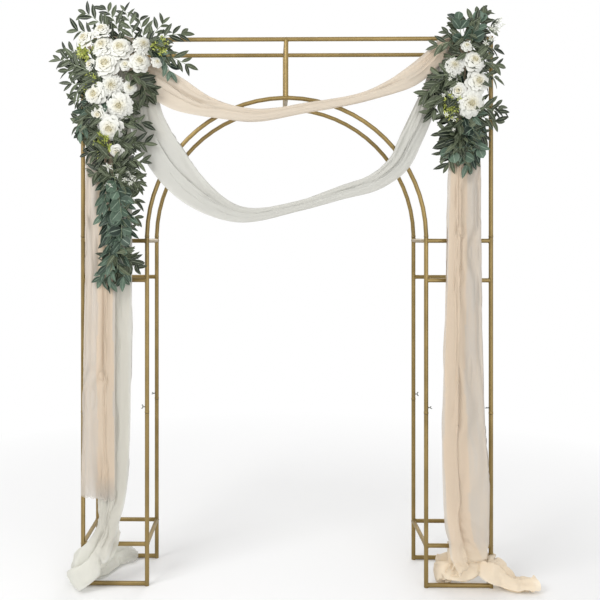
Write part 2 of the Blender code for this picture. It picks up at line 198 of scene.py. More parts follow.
def build_stage():
    """A pale floor that fades into a white backdrop, and soft lamps."""
    disc = bpy.data.meshes.new("floor")
    work = bmesh.new()
    bmesh.ops.create_circle(work, cap_ends=True, segments=64, radius=FLOOR_RADIUS)
    work.to_mesh(disc)
    work.free()
    floor = show(bpy.data.objects.new("floor", disc))
    floor.location.z = -FLOOR_DROP
    made, tree, shader = new_material("pale_floor")
    feed(tree, shader, {"Base Color": FLOOR_COLOUR, "Roughness": 0.95, "Specular IOR Level": 0.0})
    glow = put(tree, "ShaderNodeEmission", {"Color": WHITE, "Strength": 1.0}).outputs["Emission"]
    distance = put(tree, "ShaderNodeVectorMath", {0: place_on(tree)}, operation="LENGTH").outputs["Value"]
    values = {"Value": distance, "From Min": FADE_START, "From Max": FADE_END}
    fade = put(tree, "ShaderNodeMapRange", values).outputs["Result"]
    share = maths(tree, "MULTIPLY", fade, seen_directly(tree))
    surface = mixed(tree, share, shader.outputs["BSDF"], glow)
    feed(tree, tree.nodes["Material Output"], {"Surface": surface})
    disc.materials.append(made)

    world = bpy.data.worlds.new("studio")
    bpy.context.scene.world = world
    world.use_nodes = True
    tree = world.node_tree
    sky = tree.nodes["Background"]
    feed(tree, sky, {"Color": WHITE, "Strength": SKY_STRENGTH})
    backdrop = put(tree, "ShaderNodeBackground", {"Color": WHITE, "Strength": 1.0}).outputs["Background"]
    surface = mixed(tree, seen_directly(tree), sky.outputs["Background"], backdrop)
    feed(tree, tree.nodes["World Output"], {"Surface": surface})

    for name, place, size, power in LAMPS:
        lamp = bpy.data.lights.new(name, "AREA")
        lamp.size = size
        lamp.energy = power
        made = show(bpy.data.objects.new(name, lamp))
        made.location = place
        made.rotation_euler = (Vector((0.0, 0.0, 1.2)) - made.location).to_track_quat("-Z", "Y").to_euler()


def build_camera():
    """The photograph's camera."""
    data = bpy.data.cameras.new("camera")
    data.lens = CAMERA_LENS
    data.sensor_width = 36.0
    data.shift_x, data.shift_y = CAMERA_SHIFT
    made = show(bpy.data.objects.new("camera", data))
    made.location = Vector(CAMERA_PLACE) + MIDDLE
    made.rotation_euler = (math.pi / 2, 0.0, CAMERA_YAW)
    bpy.context.scene.camera = made


# Gold frame


def gold_finish():
    """Satin gold powder coat: a soft cloud of tone, fine orange peel and slightly uneven gloss."""
    made, tree, shader = new_material("satin_gold")
    place = place_on(tree)
    cloud = noise(tree, place, 9.0, 4.0)
    values = {"Value": noise(tree, place, 60.0, 3.0), "To Min": 0.30, "To Max": 0.44}
    feed(tree, shader, {
        "Base Color": ramp(tree, cloud, (0.30, (0.200, 0.138, 0.043)), (0.70, (0.290, 0.203, 0.070))),
        "Metallic": 0.45, "Roughness": put(tree, "ShaderNodeMapRange", values).outputs["Result"],
        "Normal": bumped(tree, noise(tree, place, 700.0, 2.0), 0.10, 0.0004),
    })
    return made


def smooth_tree():
    """Joins a node's loose triangles and shades it smooth across its shallow edges."""
    tree, given, result = growing_tree("smooth_tube", {"Join Distance": "Float", "Sharp Angle": "Float"})
    values = {"Geometry": given["Geometry"], "Distance": given["Join Distance"]}
    merged = put(tree, "GeometryNodeMergeByDistance", values).outputs["Geometry"]
    smooth = put(tree, "GeometryNodeSetShadeSmooth", {"Geometry": merged}).outputs["Geometry"]
    angle = put(tree, "GeometryNodeInputMeshEdgeAngle").outputs["Unsigned Angle"]
    values = {"A": angle, "B": given["Sharp Angle"]}
    steep = put(tree, "FunctionNodeCompare", values, operation="GREATER_THAN").outputs["Result"]
    values = {"Geometry": smooth, "Name": "sharp_edge", "Value": steep}
    marked = put(tree, "GeometryNodeStoreNamedAttribute", values, data_type="BOOLEAN", domain="EDGE")
    tree.links.new(marked.outputs["Geometry"], result)
    return tree


def dress_frame():
    """Gives the gold nodes their finish, rounds their facets and hides the seams between their triangles."""
    gold = gold_finish()
    smooth = smooth_tree()
    slots = {row["node"]: row["material_slot"] for row in frame["record"]["subparts"]}
    for name, node in frame["nodes"].items():
        if slots[name] == "gold_frame":
            node.data.materials.clear()
            node.data.materials.append(gold)
            use_tree(node, smooth, {"Join Distance": JOIN_DISTANCE, "Sharp Angle": SHARP_ANGLE})


# Chiffon panels

FLAT_WIDTH = 0.70
ROW_STEP = 0.012
COLUMNS = 84
SECTION_SAMPLES = 180
SETTLE_FRAMES = 40
EASING_ROUNDS = 2
CONTACT_GAP = 0.003
CONTACT_FRICTION = 25
CHIFFON_GLOW = 0.26
CHIFFON_SHEER = 0.10
# Where the cloth turns back on itself, from its first selvedge to its last: across, then from front to back
FOLD_TURNS = (
    (-0.50, 0.30), (0.10, 0.40), (-0.16, 0.27), (0.50, 0.12), (-0.44, -0.12), (0.38, -0.32), (-0.46, -0.50),
)
# How far the turns and their levels drift along the cloth
TURN_DRIFT = 0.07
LEVEL_DRIFT = 0.05
# Ripples across the folded cloth: fine and broad waves, their greatest height and the share of the flat width
FINE_WAVES = 17
BROAD_WAVES = 7.3
RIPPLE_LIMIT = 0.011
WIDTH_SHARE = 0.97
# How far from a cut end its edge is ragged, and how low the cloth may lie
RAGGED_REACH = 0.25
LEAST_HEIGHT = 0.003
# How far the layered folds of the champagne falls draw together towards one selvedge
FALL_SQUEEZE = 0.62
# How far up from a panel's first end its layers look thin
HEM_FADE = 0.10
# A swag is nearer to the middle than this, a heap is below the next value, and a fall's folds below the last
SWAG_REACH = 0.66
HEAP_HEIGHT = 0.22
FALL_HEIGHT = 2.25
STATE_FADE = 0.12
# Below the first height a panel's end begins to come free, and above the second it takes no part in settling
FREE_HEIGHT = 0.44
HELD_HEIGHT = 0.55
CLOTH_SETTINGS = {
    "quality": 6, "mass": 0.10, "air_damping": 2.5, "tension_stiffness": 12, "compression_stiffness": 12,
    "shear_stiffness": 6, "bending_stiffness": 0.06, "tension_damping": 12, "compression_damping": 12,
    "shear_damping": 10, "bending_damping": 0.6, "vertex_group_mass": "held", "pin_stiffness": 1.0,
}
CONTACT_SETTINGS = {
    "use_collision": True, "collision_quality": 3, "distance_min": CONTACT_GAP, "friction": CONTACT_FRICTION,
    "use_self_collision": True, "self_distance_min": 0.0022, "self_friction": 12,
}

# Station of a panel: x, y, z, width, depth and, where it isn't in the frontal plane, its across direction
CHAMPAGNE_ROUTE = (
    (-0.813, -0.188, 0.400, 0.150, 0.034),
    (-0.810, -0.189, 0.600, 0.147, 0.034),
    (-0.808, -0.190, 0.900, 0.140, 0.034),
    (-0.804, -0.190, 1.300, 0.134, 0.034),
    (-0.800, -0.190, 1.800, 0.132, 0.034),
    (-0.790, -0.190, 2.120, 0.124, 0.034),
    (-0.772, -0.188, 2.290, 0.095, 0.036),
    (-0.742, -0.184, 2.372, 0.062, 0.040),
    (-0.700, -0.184, 2.366, 0.062, 0.040),
    (-0.640, -0.188, 2.270, 0.112, 0.040),
    (-0.470, -0.192, 2.142, 0.140, 0.038),
    (-0.330, -0.192, 2.084, 0.086, 0.040),
    (-0.150, -0.190, 2.052, 0.056, 0.044),
    (0.100, -0.188, 2.086, 0.043, 0.042),
    (0.370, -0.188, 2.142, 0.044, 0.042),
    (0.560, -0.188, 2.232, 0.088, 0.040),
    (0.648, -0.186, 2.312, 0.080, 0.040),
    (0.700, -0.184, 2.370, 0.062, 0.040),
    (0.742, -0.184, 2.358, 0.068, 0.040),
    (0.762, -0.186, 2.240, 0.120, 0.036),
    (0.762, -0.188, 1.900, 0.136, 0.036),
    (0.762, -0.188, 1.380, 0.150, 0.036),
    (0.758, -0.188, 1.000, 0.168, 0.036),
    (0.760, -0.188, 0.700, 0.190, 0.036),
    (0.772, -0.186, 0.420, 0.204, 0.038),
    (0.776, -0.184, 0.300, 0.200, 0.042, (1.0, 0.0, 0.0)),
    (0.782, -0.176, 0.215, 0.190, 0.046, (1.0, 0.0, 0.05)),
    (0.780, -0.126, 0.130, 0.180, 0.050, (1.0, 0.0, 0.2)),
    (0.745, -0.050, 0.085, 0.170, 0.050, (0.8, 0.2, 0.5)),
    (0.690, -0.002, 0.084, 0.150, 0.050, (0.3, 0.3, 0.9)),
    (0.652, -0.030, 0.087, 0.150, 0.050, (0.0, 0.0, 1.0)),
    (0.690, -0.068, 0.094, 0.155, 0.050, (0.0, 0.0, 1.0)),
    (0.760, -0.078, 0.100, 0.160, 0.045, (0.0, 0.1, 1.0)),
    (0.832, -0.100, 0.128, 0.160, 0.045, (0.0, 0.2, 1.0)),
    (0.895, -0.146, 0.120, 0.160, 0.045, (0.0, 0.3, 0.9)),
    (0.965, -0.146, 0.080, 0.165, 0.038, (0.1, 0.7, 0.6)),
    (1.045, -0.152, 0.042, 0.165, 0.030, (0.3, 0.9, 0.2)),
    (1.128, -0.180, 0.030, 0.165, 0.026, (0.6, 0.8, 0.1)),
)
IVORY_ROUTE = (
    (-0.690, 0.170, 0.050, 0.110, 0.030, (-0.3, 0.5, 0.7)),
    (-0.740, 0.160, 0.075, 0.130, 0.035, (-0.2, 0.4, 0.8)),
    (-0.800, 0.135, 0.095, 0.150, 0.040, (-0.1, 0.2, 1.0)),
    (-0.855, 0.080, 0.095, 0.160, 0.050, (0.0, 0.0, 1.0)),
    (-0.900, 0.015, 0.090, 0.160, 0.050, (0.0, 0.0, 1.0)),
    (-0.935, -0.040, 0.090, 0.160, 0.050, (0.0, 0.0, 1.0)),
    (-0.950, -0.095, 0.092, 0.160, 0.050, (0.0, 0.0, 1.0)),
    (-0.930, -0.146, 0.100, 0.165, 0.050, (0.0, 0.0, 1.0)),
    (-0.878, -0.180, 0.112, 0.165, 0.046, (-0.3, 0.0, 0.95)),
    (-0.816, -0.188, 0.155, 0.158, 0.042, (-0.75, 0.0, 0.65)),
    (-0.780, -0.184, 0.225, 0.138, 0.036, (-1.0, 0.0, 0.2)),
    (-0.768, -0.178, 0.300, 0.120, 0.032, (-1.0, 0.0, 0.0)),
    (-0.760, -0.174, 0.370, 0.124, 0.030, (-1.0, 0.0, 0.0)),
    (-0.756, -0.172, 0.440, 0.132, 0.030),
    (-0.748, -0.172, 0.620, 0.138, 0.030),
    (-0.742, -0.170, 0.900, 0.138, 0.030),
    (-0.738, -0.168, 1.400, 0.138, 0.030),
    (-0.736, -0.168, 2.000, 0.130, 0.030),
    (-0.728, -0.168, 2.220, 0.100, 0.030),
    (-0.702, -0.168, 2.330, 0.060, 0.034),
    (-0.664, -0.170, 2.330, 0.060, 0.034),
    (-0.634, -0.170, 2.230, 0.105, 0.032),
    (-0.600, -0.168, 2.020, 0.150, 0.030),
    (-0.522, -0.168, 1.872, 0.168, 0.030),
    (-0.405, -0.170, 1.732, 0.140, 0.034),
    (-0.220, -0.172, 1.628, 0.076, 0.040),
    (0.050, -0.172, 1.660, 0.046, 0.040),
    (0.230, -0.172, 1.716, 0.060, 0.040),
    (0.400, -0.172, 1.774, 0.078, 0.038),
    (0.485, -0.171, 1.845, 0.092, 0.036),
    (0.538, -0.170, 1.952, 0.098, 0.034),
    (0.588, -0.168, 2.064, 0.092, 0.032),
    (0.632, -0.168, 2.190, 0.066, 0.034),
    (0.660, -0.168, 2.325, 0.056, 0.036),
    (0.705, -0.168, 2.325, 0.060, 0.036),
    (0.745, -0.168, 2.200, 0.100, 0.030),
    (0.765, -0.168, 1.800, 0.110, 0.028),
    (0.766, -0.168, 1.300, 0.120, 0.028),
    (0.764, -0.168, 0.640, 0.130, 0.028),
)


def curve_through(keys, values, at):
    """A smooth curve through values at keys, read at other places."""
    values = np.asarray(values, float)
    slopes = np.gradient(values, keys, axis=0)
    index = np.clip(np.searchsorted(keys, at, side="right") - 1, 0, len(keys) - 2)
    span = keys[index + 1] - keys[index]
    step = (at - keys[index]) / span
    if values.ndim > 1:
        span = span[:, None]
        step = step[:, None]
    start = (2 * step**3 - 3 * step**2 + 1) * values[index]
    leave = (step**3 - 2 * step**2 + step) * slopes[index] * span
    finish = (3 * step**2 - 2 * step**3) * values[index + 1]
    arrive = (step**3 - step**2) * slopes[index + 1] * span
    return start + leave + finish + arrive


def wander(at, seed, length):
    """A smooth random drift between about -1 and 1 along a length."""
    spread = np.random.default_rng(seed)
    total = np.zeros_like(at)
    for strand in range(5):
        wave = length / (0.7 + 0.9 * strand)
        total += np.sin(2 * math.pi * at / wave + spread.uniform(0, 2 * math.pi)) / (1 + 0.6 * strand)
    return total / 2.2


def unit(vectors):
    """Vectors at length one."""
    return vectors / np.maximum(np.linalg.norm(vectors, axis=-1, keepdims=True), 1e-9)


def fold_sections(at, width, depth, seed, squeeze):
    """The gathered cloth's section at each row: across, out and how many layers cover each point."""
    passes = len(FOLD_TURNS) - 1
    course = np.linspace(0, passes, SECTION_SAMPLES)
    leg = np.minimum(course.astype(int), passes - 1)
    ease = (1 - np.cos(math.pi * (course - leg))) / 2
    turns = []
    levels = []
    for number, (across, out) in enumerate(FOLD_TURNS):
        turns.append(across + TURN_DRIFT * wander(at, seed + number, 1.1))
        levels.append(out + LEVEL_DRIFT * wander(at, seed + 20 + number, 1.7))
    turns = np.array(turns).T
    levels = np.array(levels).T
    turns = np.clip(-0.5 + (turns + 0.5) * squeeze[:, None], -0.5, 0.5)
    turns[:, 3] = 0.5
    turns[:, 0] = -0.5
    across = (turns[:, leg] + (turns[:, leg + 1] - turns[:, leg]) * ease) * width[:, None]
    out = (levels[:, leg] + (levels[:, leg + 1] - levels[:, leg]) * (course - leg)) * depth[:, None]
    bulge = np.sqrt(np.clip(1 - (across / (0.52 * width[:, None])) ** 2, 0, 1)) - 0.6
    out += 0.22 * depth[:, None] * bulge * np.sign(0.05 + levels[:, leg])

    # Ripples as high as the cloth's flat width allows
    slack = np.clip(course / passes * 6 - 0.3, 0.16, 1.0)
    phase = 5 * wander(at, seed + 40, 1.9)[:, None] + 2.5 * wander(at, seed + 41, 0.9)[:, None]
    broad = np.sin(2 * math.pi * BROAD_WAVES * course / passes - 1.4 * phase)
    wave = np.sin(2 * math.pi * FINE_WAVES * course / passes + phase) + 0.5 * broad
    low = np.zeros(len(at))
    high = np.minimum(np.minimum(0.30 * depth, RIPPLE_LIMIT), np.where(width < 0.08, 0.035, 0.055) * width)
    for _ in range(9):
        amount = (low + high) / 2
        rippled = out + amount[:, None] * slack * wave
        arc = np.hypot(np.diff(across, axis=1), np.diff(rippled, axis=1)).sum(axis=1)
        long = arc > WIDTH_SHARE * FLAT_WIDTH
        high = np.where(long, amount, high)
        low = np.where(long, low, amount)

    low_ends = np.minimum(turns[:, :-1], turns[:, 1:]) * width[:, None]
    high_ends = np.maximum(turns[:, :-1], turns[:, 1:]) * width[:, None]
    inside = (across[:, :, None] > low_ends[:, None, :]) & (across[:, :, None] < high_ends[:, None, :])
    return across, rippled, inside.sum(axis=2) / passes


def gathered_panel(route, seed, squeeze=1.0, hem_start=0.0, hem_end=0.0):
    """Rows of points of a long panel of cloth gathered along a route, how many layers cover each point and
    whether it hangs in a swag, lies in a heap or is near the hem, and how far along the cloth each row is."""
    places = np.array([station[:3] for station in route])
    sizes = np.array([station[3:5] for station in route])
    keys = np.concatenate(([0.0], np.cumsum(np.linalg.norm(np.diff(places, axis=0), axis=1))))
    count = round(keys[-1] / ROW_STEP) + 1
    at = np.linspace(0, keys[-1], count)
    place = curve_through(keys, places, at)
    width, depth = curve_through(keys, sizes, at).T
    tangent = unit(np.gradient(place, axis=0))
    heading = unit(np.gradient(places, keys, axis=0))
    turned = [(*station[5:], (-way[2], 0.0, way[0]))[0] for station, way in zip(route, heading)]
    sides = curve_through(keys, np.array(turned), at)
    sides = unit(sides - tangent * (sides * tangent).sum(axis=1, keepdims=True))
    outward = np.cross(tangent, sides)
    hung = np.clip((SWAG_REACH - np.abs(place[:, 0])) / STATE_FADE, 0, 1)
    # The heap share also picks the heap colour, which carries painted light
    heap_painted_light = np.clip((HEAP_HEIGHT - place[:, 2]) / STATE_FADE, 0, 1)
    falling = np.clip((FALL_HEIGHT - place[:, 2]) / 0.5, 0, 1) * (1 - hung) * (1 - heap_painted_light)
    across, out, layers = fold_sections(at, width, depth, seed, 1 - (1 - squeeze) * falling)

    points = place[:, None] + sides[:, None] * across[:, :, None] + outward[:, None] * out[:, :, None]
    selvedge = np.linspace(0, 1, SECTION_SAMPLES) * FLAT_WIDTH
    ragged = wander(selvedge, seed + 60, 0.16) + 0.5 * wander(selvedge, seed + 61, 0.05)
    for reach, sign, end in ((hem_start, -1, at), (hem_end, 1, at[-1] - at)):
        fall = np.clip(1 - end / RAGGED_REACH, 0, 1) ** 2
        points += tangent[:, None] * (sign * reach * ragged)[None, :, None] * fall[:, None, None]

    points[:, :, 2] = np.maximum(points[:, :, 2], LEAST_HEIGHT)
    steps = np.linalg.norm(np.diff(points, axis=1), axis=2)
    arc = np.concatenate((np.zeros((count, 1)), np.cumsum(steps, axis=1)), axis=1)
    even = np.empty((count, COLUMNS + 1, 3))
    cover = np.empty((count, COLUMNS + 1))
    for row in range(count):
        spots = np.linspace(0, arc[row, -1], COLUMNS + 1)
        for axis in range(3):
            even[row, :, axis] = np.interp(spots, arc[row], points[row, :, axis])
        cover[row] = np.interp(spots, arc[row], layers[row])
    state = {"layers": cover}
    for word, shares in (("hung", hung), ("heap_painted_light", heap_painted_light), ("hem", np.clip(1 - at / HEM_FADE, 0, 1))):
        state[word] = np.tile(shares[:, None], COLUMNS + 1)
    return even, state, at


def sheet_faces(rows, columns):
    """The faces of a sheet of points in rows, as rows of four corners."""
    corner = np.arange(rows * columns).reshape(rows, columns)
    corners = (corner[:-1, :-1], corner[1:, :-1], corner[1:, 1:], corner[:-1, 1:])
    return np.stack(corners, axis=-1).reshape(-1, 4)


def store(mesh, name, values):
    """Stores a number or a direction for each point of a mesh."""
    values = np.array(values, dtype=np.float32)
    kind, word = ("FLOAT_VECTOR", "vector") if values.ndim == 2 else ("FLOAT", "value")
    mesh.attributes.new(name, kind, "POINT").data.foreach_set(word, values.ravel())


def cloth_mesh(name, points):
    """A mesh from rows of cloth points, and its faces."""
    rows, columns = points.shape[:2]
    faces = sheet_faces(rows, columns)[:, [0, 3, 2, 1]]
    mesh = bpy.data.meshes.new(name)
    mesh.from_pydata(points.reshape(-1, 3).tolist(), [], faces.tolist())
    return mesh, faces


def let_settle(points, loose, away):
    """Lets the loose end of a panel drop onto the floor and the tubes near it. Rows where `loose` is one are
    free, those where it is nought are held, and those below nought take no part."""
    rows = np.flatnonzero(loose > -0.5)
    count, columns = len(rows), points.shape[1]
    cloth = show(bpy.data.objects.new("settling", cloth_mesh("settling", points[rows])[0]))
    held = cloth.vertex_groups.new(name="held")
    for row, free in enumerate(loose[rows]):
        if free < 1:
            held.add(list(range(row * columns, (row + 1) * columns)), 1 - float(free), "REPLACE")
    props = [collision_floor()] + [collision_copy(name) for name in away]
    modifier = cloth.modifiers.new("cloth", "CLOTH")
    for word, value in CLOTH_SETTINGS.items():
        setattr(modifier.settings, word, value)
    for word, value in CONTACT_SETTINGS.items():
        setattr(modifier.collision_settings, word, value)
    scene = bpy.context.scene
    modifier.point_cache.frame_start = 1
    modifier.point_cache.frame_end = SETTLE_FRAMES
    for step in range(1, SETTLE_FRAMES + 1):
        scene.frame_set(step)
    evaluated = cloth.evaluated_get(bpy.context.evaluated_depsgraph_get())
    settled = np.empty(count * columns * 3, dtype=np.float32)
    evaluated.data.vertices.foreach_get("co", settled)
    points = points.copy()
    points[rows] = eased(settled.reshape(count, columns, 3), loose[rows])
    scene.frame_set(1)
    for leftover in [cloth] + props:
        bpy.data.objects.remove(leftover)
    return points


def eased(rows, share):
    """Settled rows drawn towards their neighbours by their share, which takes out the smallest creases."""
    for _ in range(EASING_ROUNDS):
        nearby = rows.copy()
        nearby[:, 1:-1] = (rows[:, :-2] + rows[:, 2:]) / 2
        rows = rows + (nearby - rows) * share[:, None, None] / 2
    return rows


def collision_floor():
    """A floor for the cloth to land on."""
    mesh = bpy.data.meshes.new("ground")
    reach = 3.0
    corners = [(-reach, -reach, 0), (reach, -reach, 0), (reach, reach, 0), (-reach, reach, 0)]
    mesh.from_pydata(corners, [], [(0, 1, 2, 3)])
    return collision_object("ground", mesh)


def collision_copy(name):
    """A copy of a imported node, about the middle of the frame, for the cloth to land on."""
    mesh = frame["nodes"][name].data.copy()
    mesh.transform(Matrix.Translation(-MIDDLE))
    work = bmesh.new()
    work.from_mesh(mesh)
    bmesh.ops.remove_doubles(work, verts=work.verts, dist=JOIN_DISTANCE)
    work.to_mesh(mesh)
    work.free()
    return collision_object(name + "_stop", mesh)


def collision_object(name, mesh):
    """An object that cloth can't pass."""
    made = show(bpy.data.objects.new(name, mesh))
    made.modifiers.new("collision", "COLLISION")
    made.collision.thickness_outer = CONTACT_GAP
    made.collision.cloth_friction = CONTACT_FRICTION
    return made


def chiffon(name, single, layered, hung, heap_painted_light):
    """Crinkled chiffon that lets light through: paler where few layers lie and in the swags, and paler in the
    heaps, partly from their spread single layers and partly from painted light.
    """
    made, tree, shader = new_material(name)
    flat = put(tree, "ShaderNodeUVMap", uv_map="flat").outputs["UV"]
    stretched = put(tree, "ShaderNodeMapping", {"Vector": flat, "Scale": (60.0, 5.0, 1.0)}).outputs["Vector"]
    streak = noise(tree, stretched, 1.0, 4.0)
    uneven = maths(tree, "MULTIPLY_ADD", streak, 0.35, told(tree, "layers"))
    tone = ramp(tree, uneven, (0.42, single), (0.78, layered))
    # The heap colour is partly painted light and partly spread cloth: it is brighter than the cloth, to make
    # up for the shade that falls on the heaps
    for word, colour in (("hung", hung), ("heap_painted_light", heap_painted_light), ("hem", single)):
        tone = blended(tree, told(tree, word), tone, (*colour, 1.0))
    crinkle = maths(tree, "MULTIPLY_ADD", streak, 4.0, noise(tree, flat, 2600.0, 2.0))
    feed(tree, shader, {
        "Base Color": tone, "Roughness": 0.78, "Sheen Weight": 0.25, "Sheen Roughness": 0.45,
        "Specular IOR Level": 0.25, "Normal": bumped(tree, crinkle, 0.25, 0.0006),
    })
    through = put(tree, "ShaderNodeBsdfTranslucent", {"Color": tone}).outputs["BSDF"]
    woven = mixed(tree, CHIFFON_GLOW, shader.outputs["BSDF"], through)
    gaps = put(tree, "ShaderNodeBsdfTransparent").outputs["BSDF"]
    clear = maths(tree, "MULTIPLY_ADD", told(tree, "hem"), 0.35, CHIFFON_SHEER)
    feed(tree, tree.nodes["Material Output"], {"Surface": mixed(tree, clear, woven, gaps)})
    return made


def hang_panel(name, cloth, route, seed, side, nodes, **ends):
    """A panel that is one sheet from its left end to its right, its end on one side settled on the floor."""
    rows, state, along = gathered_panel(route, seed, **ends)
    heights = rows[:, :, 2].mean(axis=1)
    own = along > along[-1] / 2 if side == "right" else along < along[-1] / 2
    free = np.clip((FREE_HEIGHT - heights) / STATE_FADE, 0, 1)
    loose = np.where(own & (heights <= HELD_HEIGHT), free, -1.0)
    rows = let_settle(rows, loose, [f"front_{side}_lower_leg", f"back_{side}_lower_leg"])
    mesh, faces = cloth_mesh(f"{name}_panel", rows)
    flat = np.stack(np.meshgrid(np.linspace(0, FLAT_WIDTH, rows.shape[1]), along), axis=-1).reshape(-1, 2)
    mesh.uv_layers.new(name="flat").data.foreach_set("uv", flat[faces.reshape(-1)].astype(np.float32).ravel())
    for word, values in state.items():
        store(mesh, word, values.ravel())
    mesh.polygons.foreach_set("use_smooth", [True] * len(mesh.polygons))
    mesh.update()
    mesh.materials.append(cloth)
    panel = new_piece(f"{name}_panel", mesh)
    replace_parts(panel, *nodes)


def hang_panels():
    """The champagne panel with its heap on the right, and the ivory panel with its heap on the left."""
    # The heap colours carry painted light on top of the paler tone of spread cloth
    champagne = chiffon(
        "champagne_cloth", single=(0.635, 0.590, 0.530), layered=(0.745, 0.625, 0.490),
        hung=(0.760, 0.680, 0.570), heap_painted_light=(0.940, 0.830, 0.665),
    )
    ivory = chiffon(
        "ivory_cloth", single=(0.655, 0.645, 0.600), layered=(0.680, 0.660, 0.590),
        hung=(0.680, 0.675, 0.630), heap_painted_light=(0.820, 0.815, 0.750),
    )
    nodes = ("upper_swag", "left_fall", "right_fall", "right_puddle")
    hang_panel(
        "champagne", champagne, CHAMPAGNE_ROUTE, 11, "right", nodes, squeeze=FALL_SQUEEZE, hem_start=0.016
    )
    hang_panel("ivory", ivory, IVORY_ROUTE, 71, "left", ("lower_swag", "left_puddle"), hem_end=0.008)


# Geometry Nodes trees that place parts, draw tubes and grow leaves


def growing_tree(name, inputs):
    """A Geometry Nodes tree with a geometry input and the named ones, its inputs, and its result's socket."""
    tree = bpy.data.node_groups.new(name, "GeometryNodeTree")
    for label, kind in {"Geometry": "Geometry", **inputs}.items():
        tree.interface.new_socket(label, in_out="INPUT", socket_type=f"NodeSocket{kind}")
    tree.interface.new_socket("Geometry", in_out="OUTPUT", socket_type="NodeSocketGeometry")
    given = put(tree, "NodeGroupInput").outputs
    return tree, given, put(tree, "NodeGroupOutput").inputs[0]


def use_tree(piece, tree, values):
    """Puts a tree on an object as its modifier, with its named inputs set."""
    modifier = piece.modifiers.new(tree.name, "NODES")
    modifier.node_group = tree
    for item in tree.interface.items_tree:
        if item.name in values:
            modifier[item.identifier] = values[item.name]


def grow(mesh, tree, values):
    """The plain mesh that a tree makes of a guide mesh."""
    guide = show(bpy.data.objects.new("guide", mesh))
    use_tree(guide, tree, values)
    made = bpy.data.meshes.new_from_object(guide.evaluated_get(bpy.context.evaluated_depsgraph_get()))
    bpy.data.objects.remove(guide)
    return made


def chance(tree, low, high, seed):
    """A random value for each element."""
    return put(tree, "FunctionNodeRandomValue", {2: low, 3: high, "Seed": seed}).outputs[1]


def stored(tree, name, kind="FLOAT"):
    """The value that the guide stores under a name."""
    return put(tree, "GeometryNodeInputNamedAttribute", {"Name": name}, data_type=kind).outputs["Attribute"]


def turned_by(tree, start, angles):
    """A rotation turned further by Euler angles about its own axes."""
    further = put(tree, "FunctionNodeEulerToRotation", {0: angles}).outputs[0]
    values = {"Rotation": start, "Rotate By": further}
    return put(tree, "FunctionNodeRotateRotation", values, rotation_space="LOCAL").outputs[0]


def finished(tree, geometry, material):
    """Instances made real, shaded smooth and given their material."""
    real = put(tree, "GeometryNodeRealizeInstances", {"Geometry": geometry}).outputs["Geometry"]
    smooth = put(tree, "GeometryNodeSetShadeSmooth", {"Geometry": real}).outputs["Geometry"]
    values = {"Geometry": smooth, "Material": material}
    return put(tree, "GeometryNodeSetMaterial", values).outputs["Geometry"]


def placing_tree():
    """One part on each point of the guide, its Z turned the way that the point faces and spun at random."""
    sockets = {"Part": "Object", "Spin": "Float", "Finish": "Material"}
    tree, given, result = growing_tree("placed_parts", sockets)
    points = put(tree, "GeometryNodeMeshToPoints", {"Mesh": given["Geometry"]}).outputs["Points"]
    part = put(tree, "GeometryNodeObjectInfo", {"Object": given["Part"]}).outputs["Geometry"]
    facing = {"Vector": stored(tree, "facing", "FLOAT_VECTOR")}
    aligned = put(tree, "FunctionNodeAlignRotationToVector", facing, axis="Z").outputs[0]
    spin = maths(tree, "MULTIPLY", given["Spin"], chance(tree, -1.0, 1.0, 7))
    rotation = turned_by(tree, aligned, put(tree, "ShaderNodeCombineXYZ", {"Z": spin}).outputs[0])
    values = {"Points": points, "Instance": part, "Rotation": rotation, "Scale": stored(tree, "size")}
    placed = put(tree, "GeometryNodeInstanceOnPoints", values).outputs["Instances"]
    tree.links.new(finished(tree, placed, given["Finish"]), result)
    return tree


def tube_tree():
    """A round or flattened tube along the guide's edges, thicker or thinner as the guide's size says."""
    sockets = {"Radius": "Float", "Flat": "Float", "Sides": "Int", "Finish": "Material"}
    tree, given, result = growing_tree("drawn_tubes", sockets)
    size = stored(tree, "size")
    curve = put(tree, "GeometryNodeMeshToCurve", {"Mesh": given["Geometry"]}).outputs["Curve"]
    sized = put(tree, "GeometryNodeSetCurveRadius", {"Curve": curve, "Radius": size}).outputs["Curve"]
    values = {"Resolution": given["Sides"], "Radius": given["Radius"]}
    ring = put(tree, "GeometryNodeCurvePrimitiveCircle", values).outputs["Curve"]
    squeeze = put(tree, "ShaderNodeCombineXYZ", {"X": given["Flat"], "Y": 1.0, "Z": 1.0}).outputs[0]
    oval = put(tree, "GeometryNodeTransform", {"Geometry": ring, "Scale": squeeze}).outputs["Geometry"]
    values = {"Curve": sized, "Profile Curve": oval, "Scale": size, "Fill Caps": True}
    swept = put(tree, "GeometryNodeCurveToMesh", values).outputs["Mesh"]
    tree.links.new(finished(tree, swept, given["Finish"]), result)
    return tree


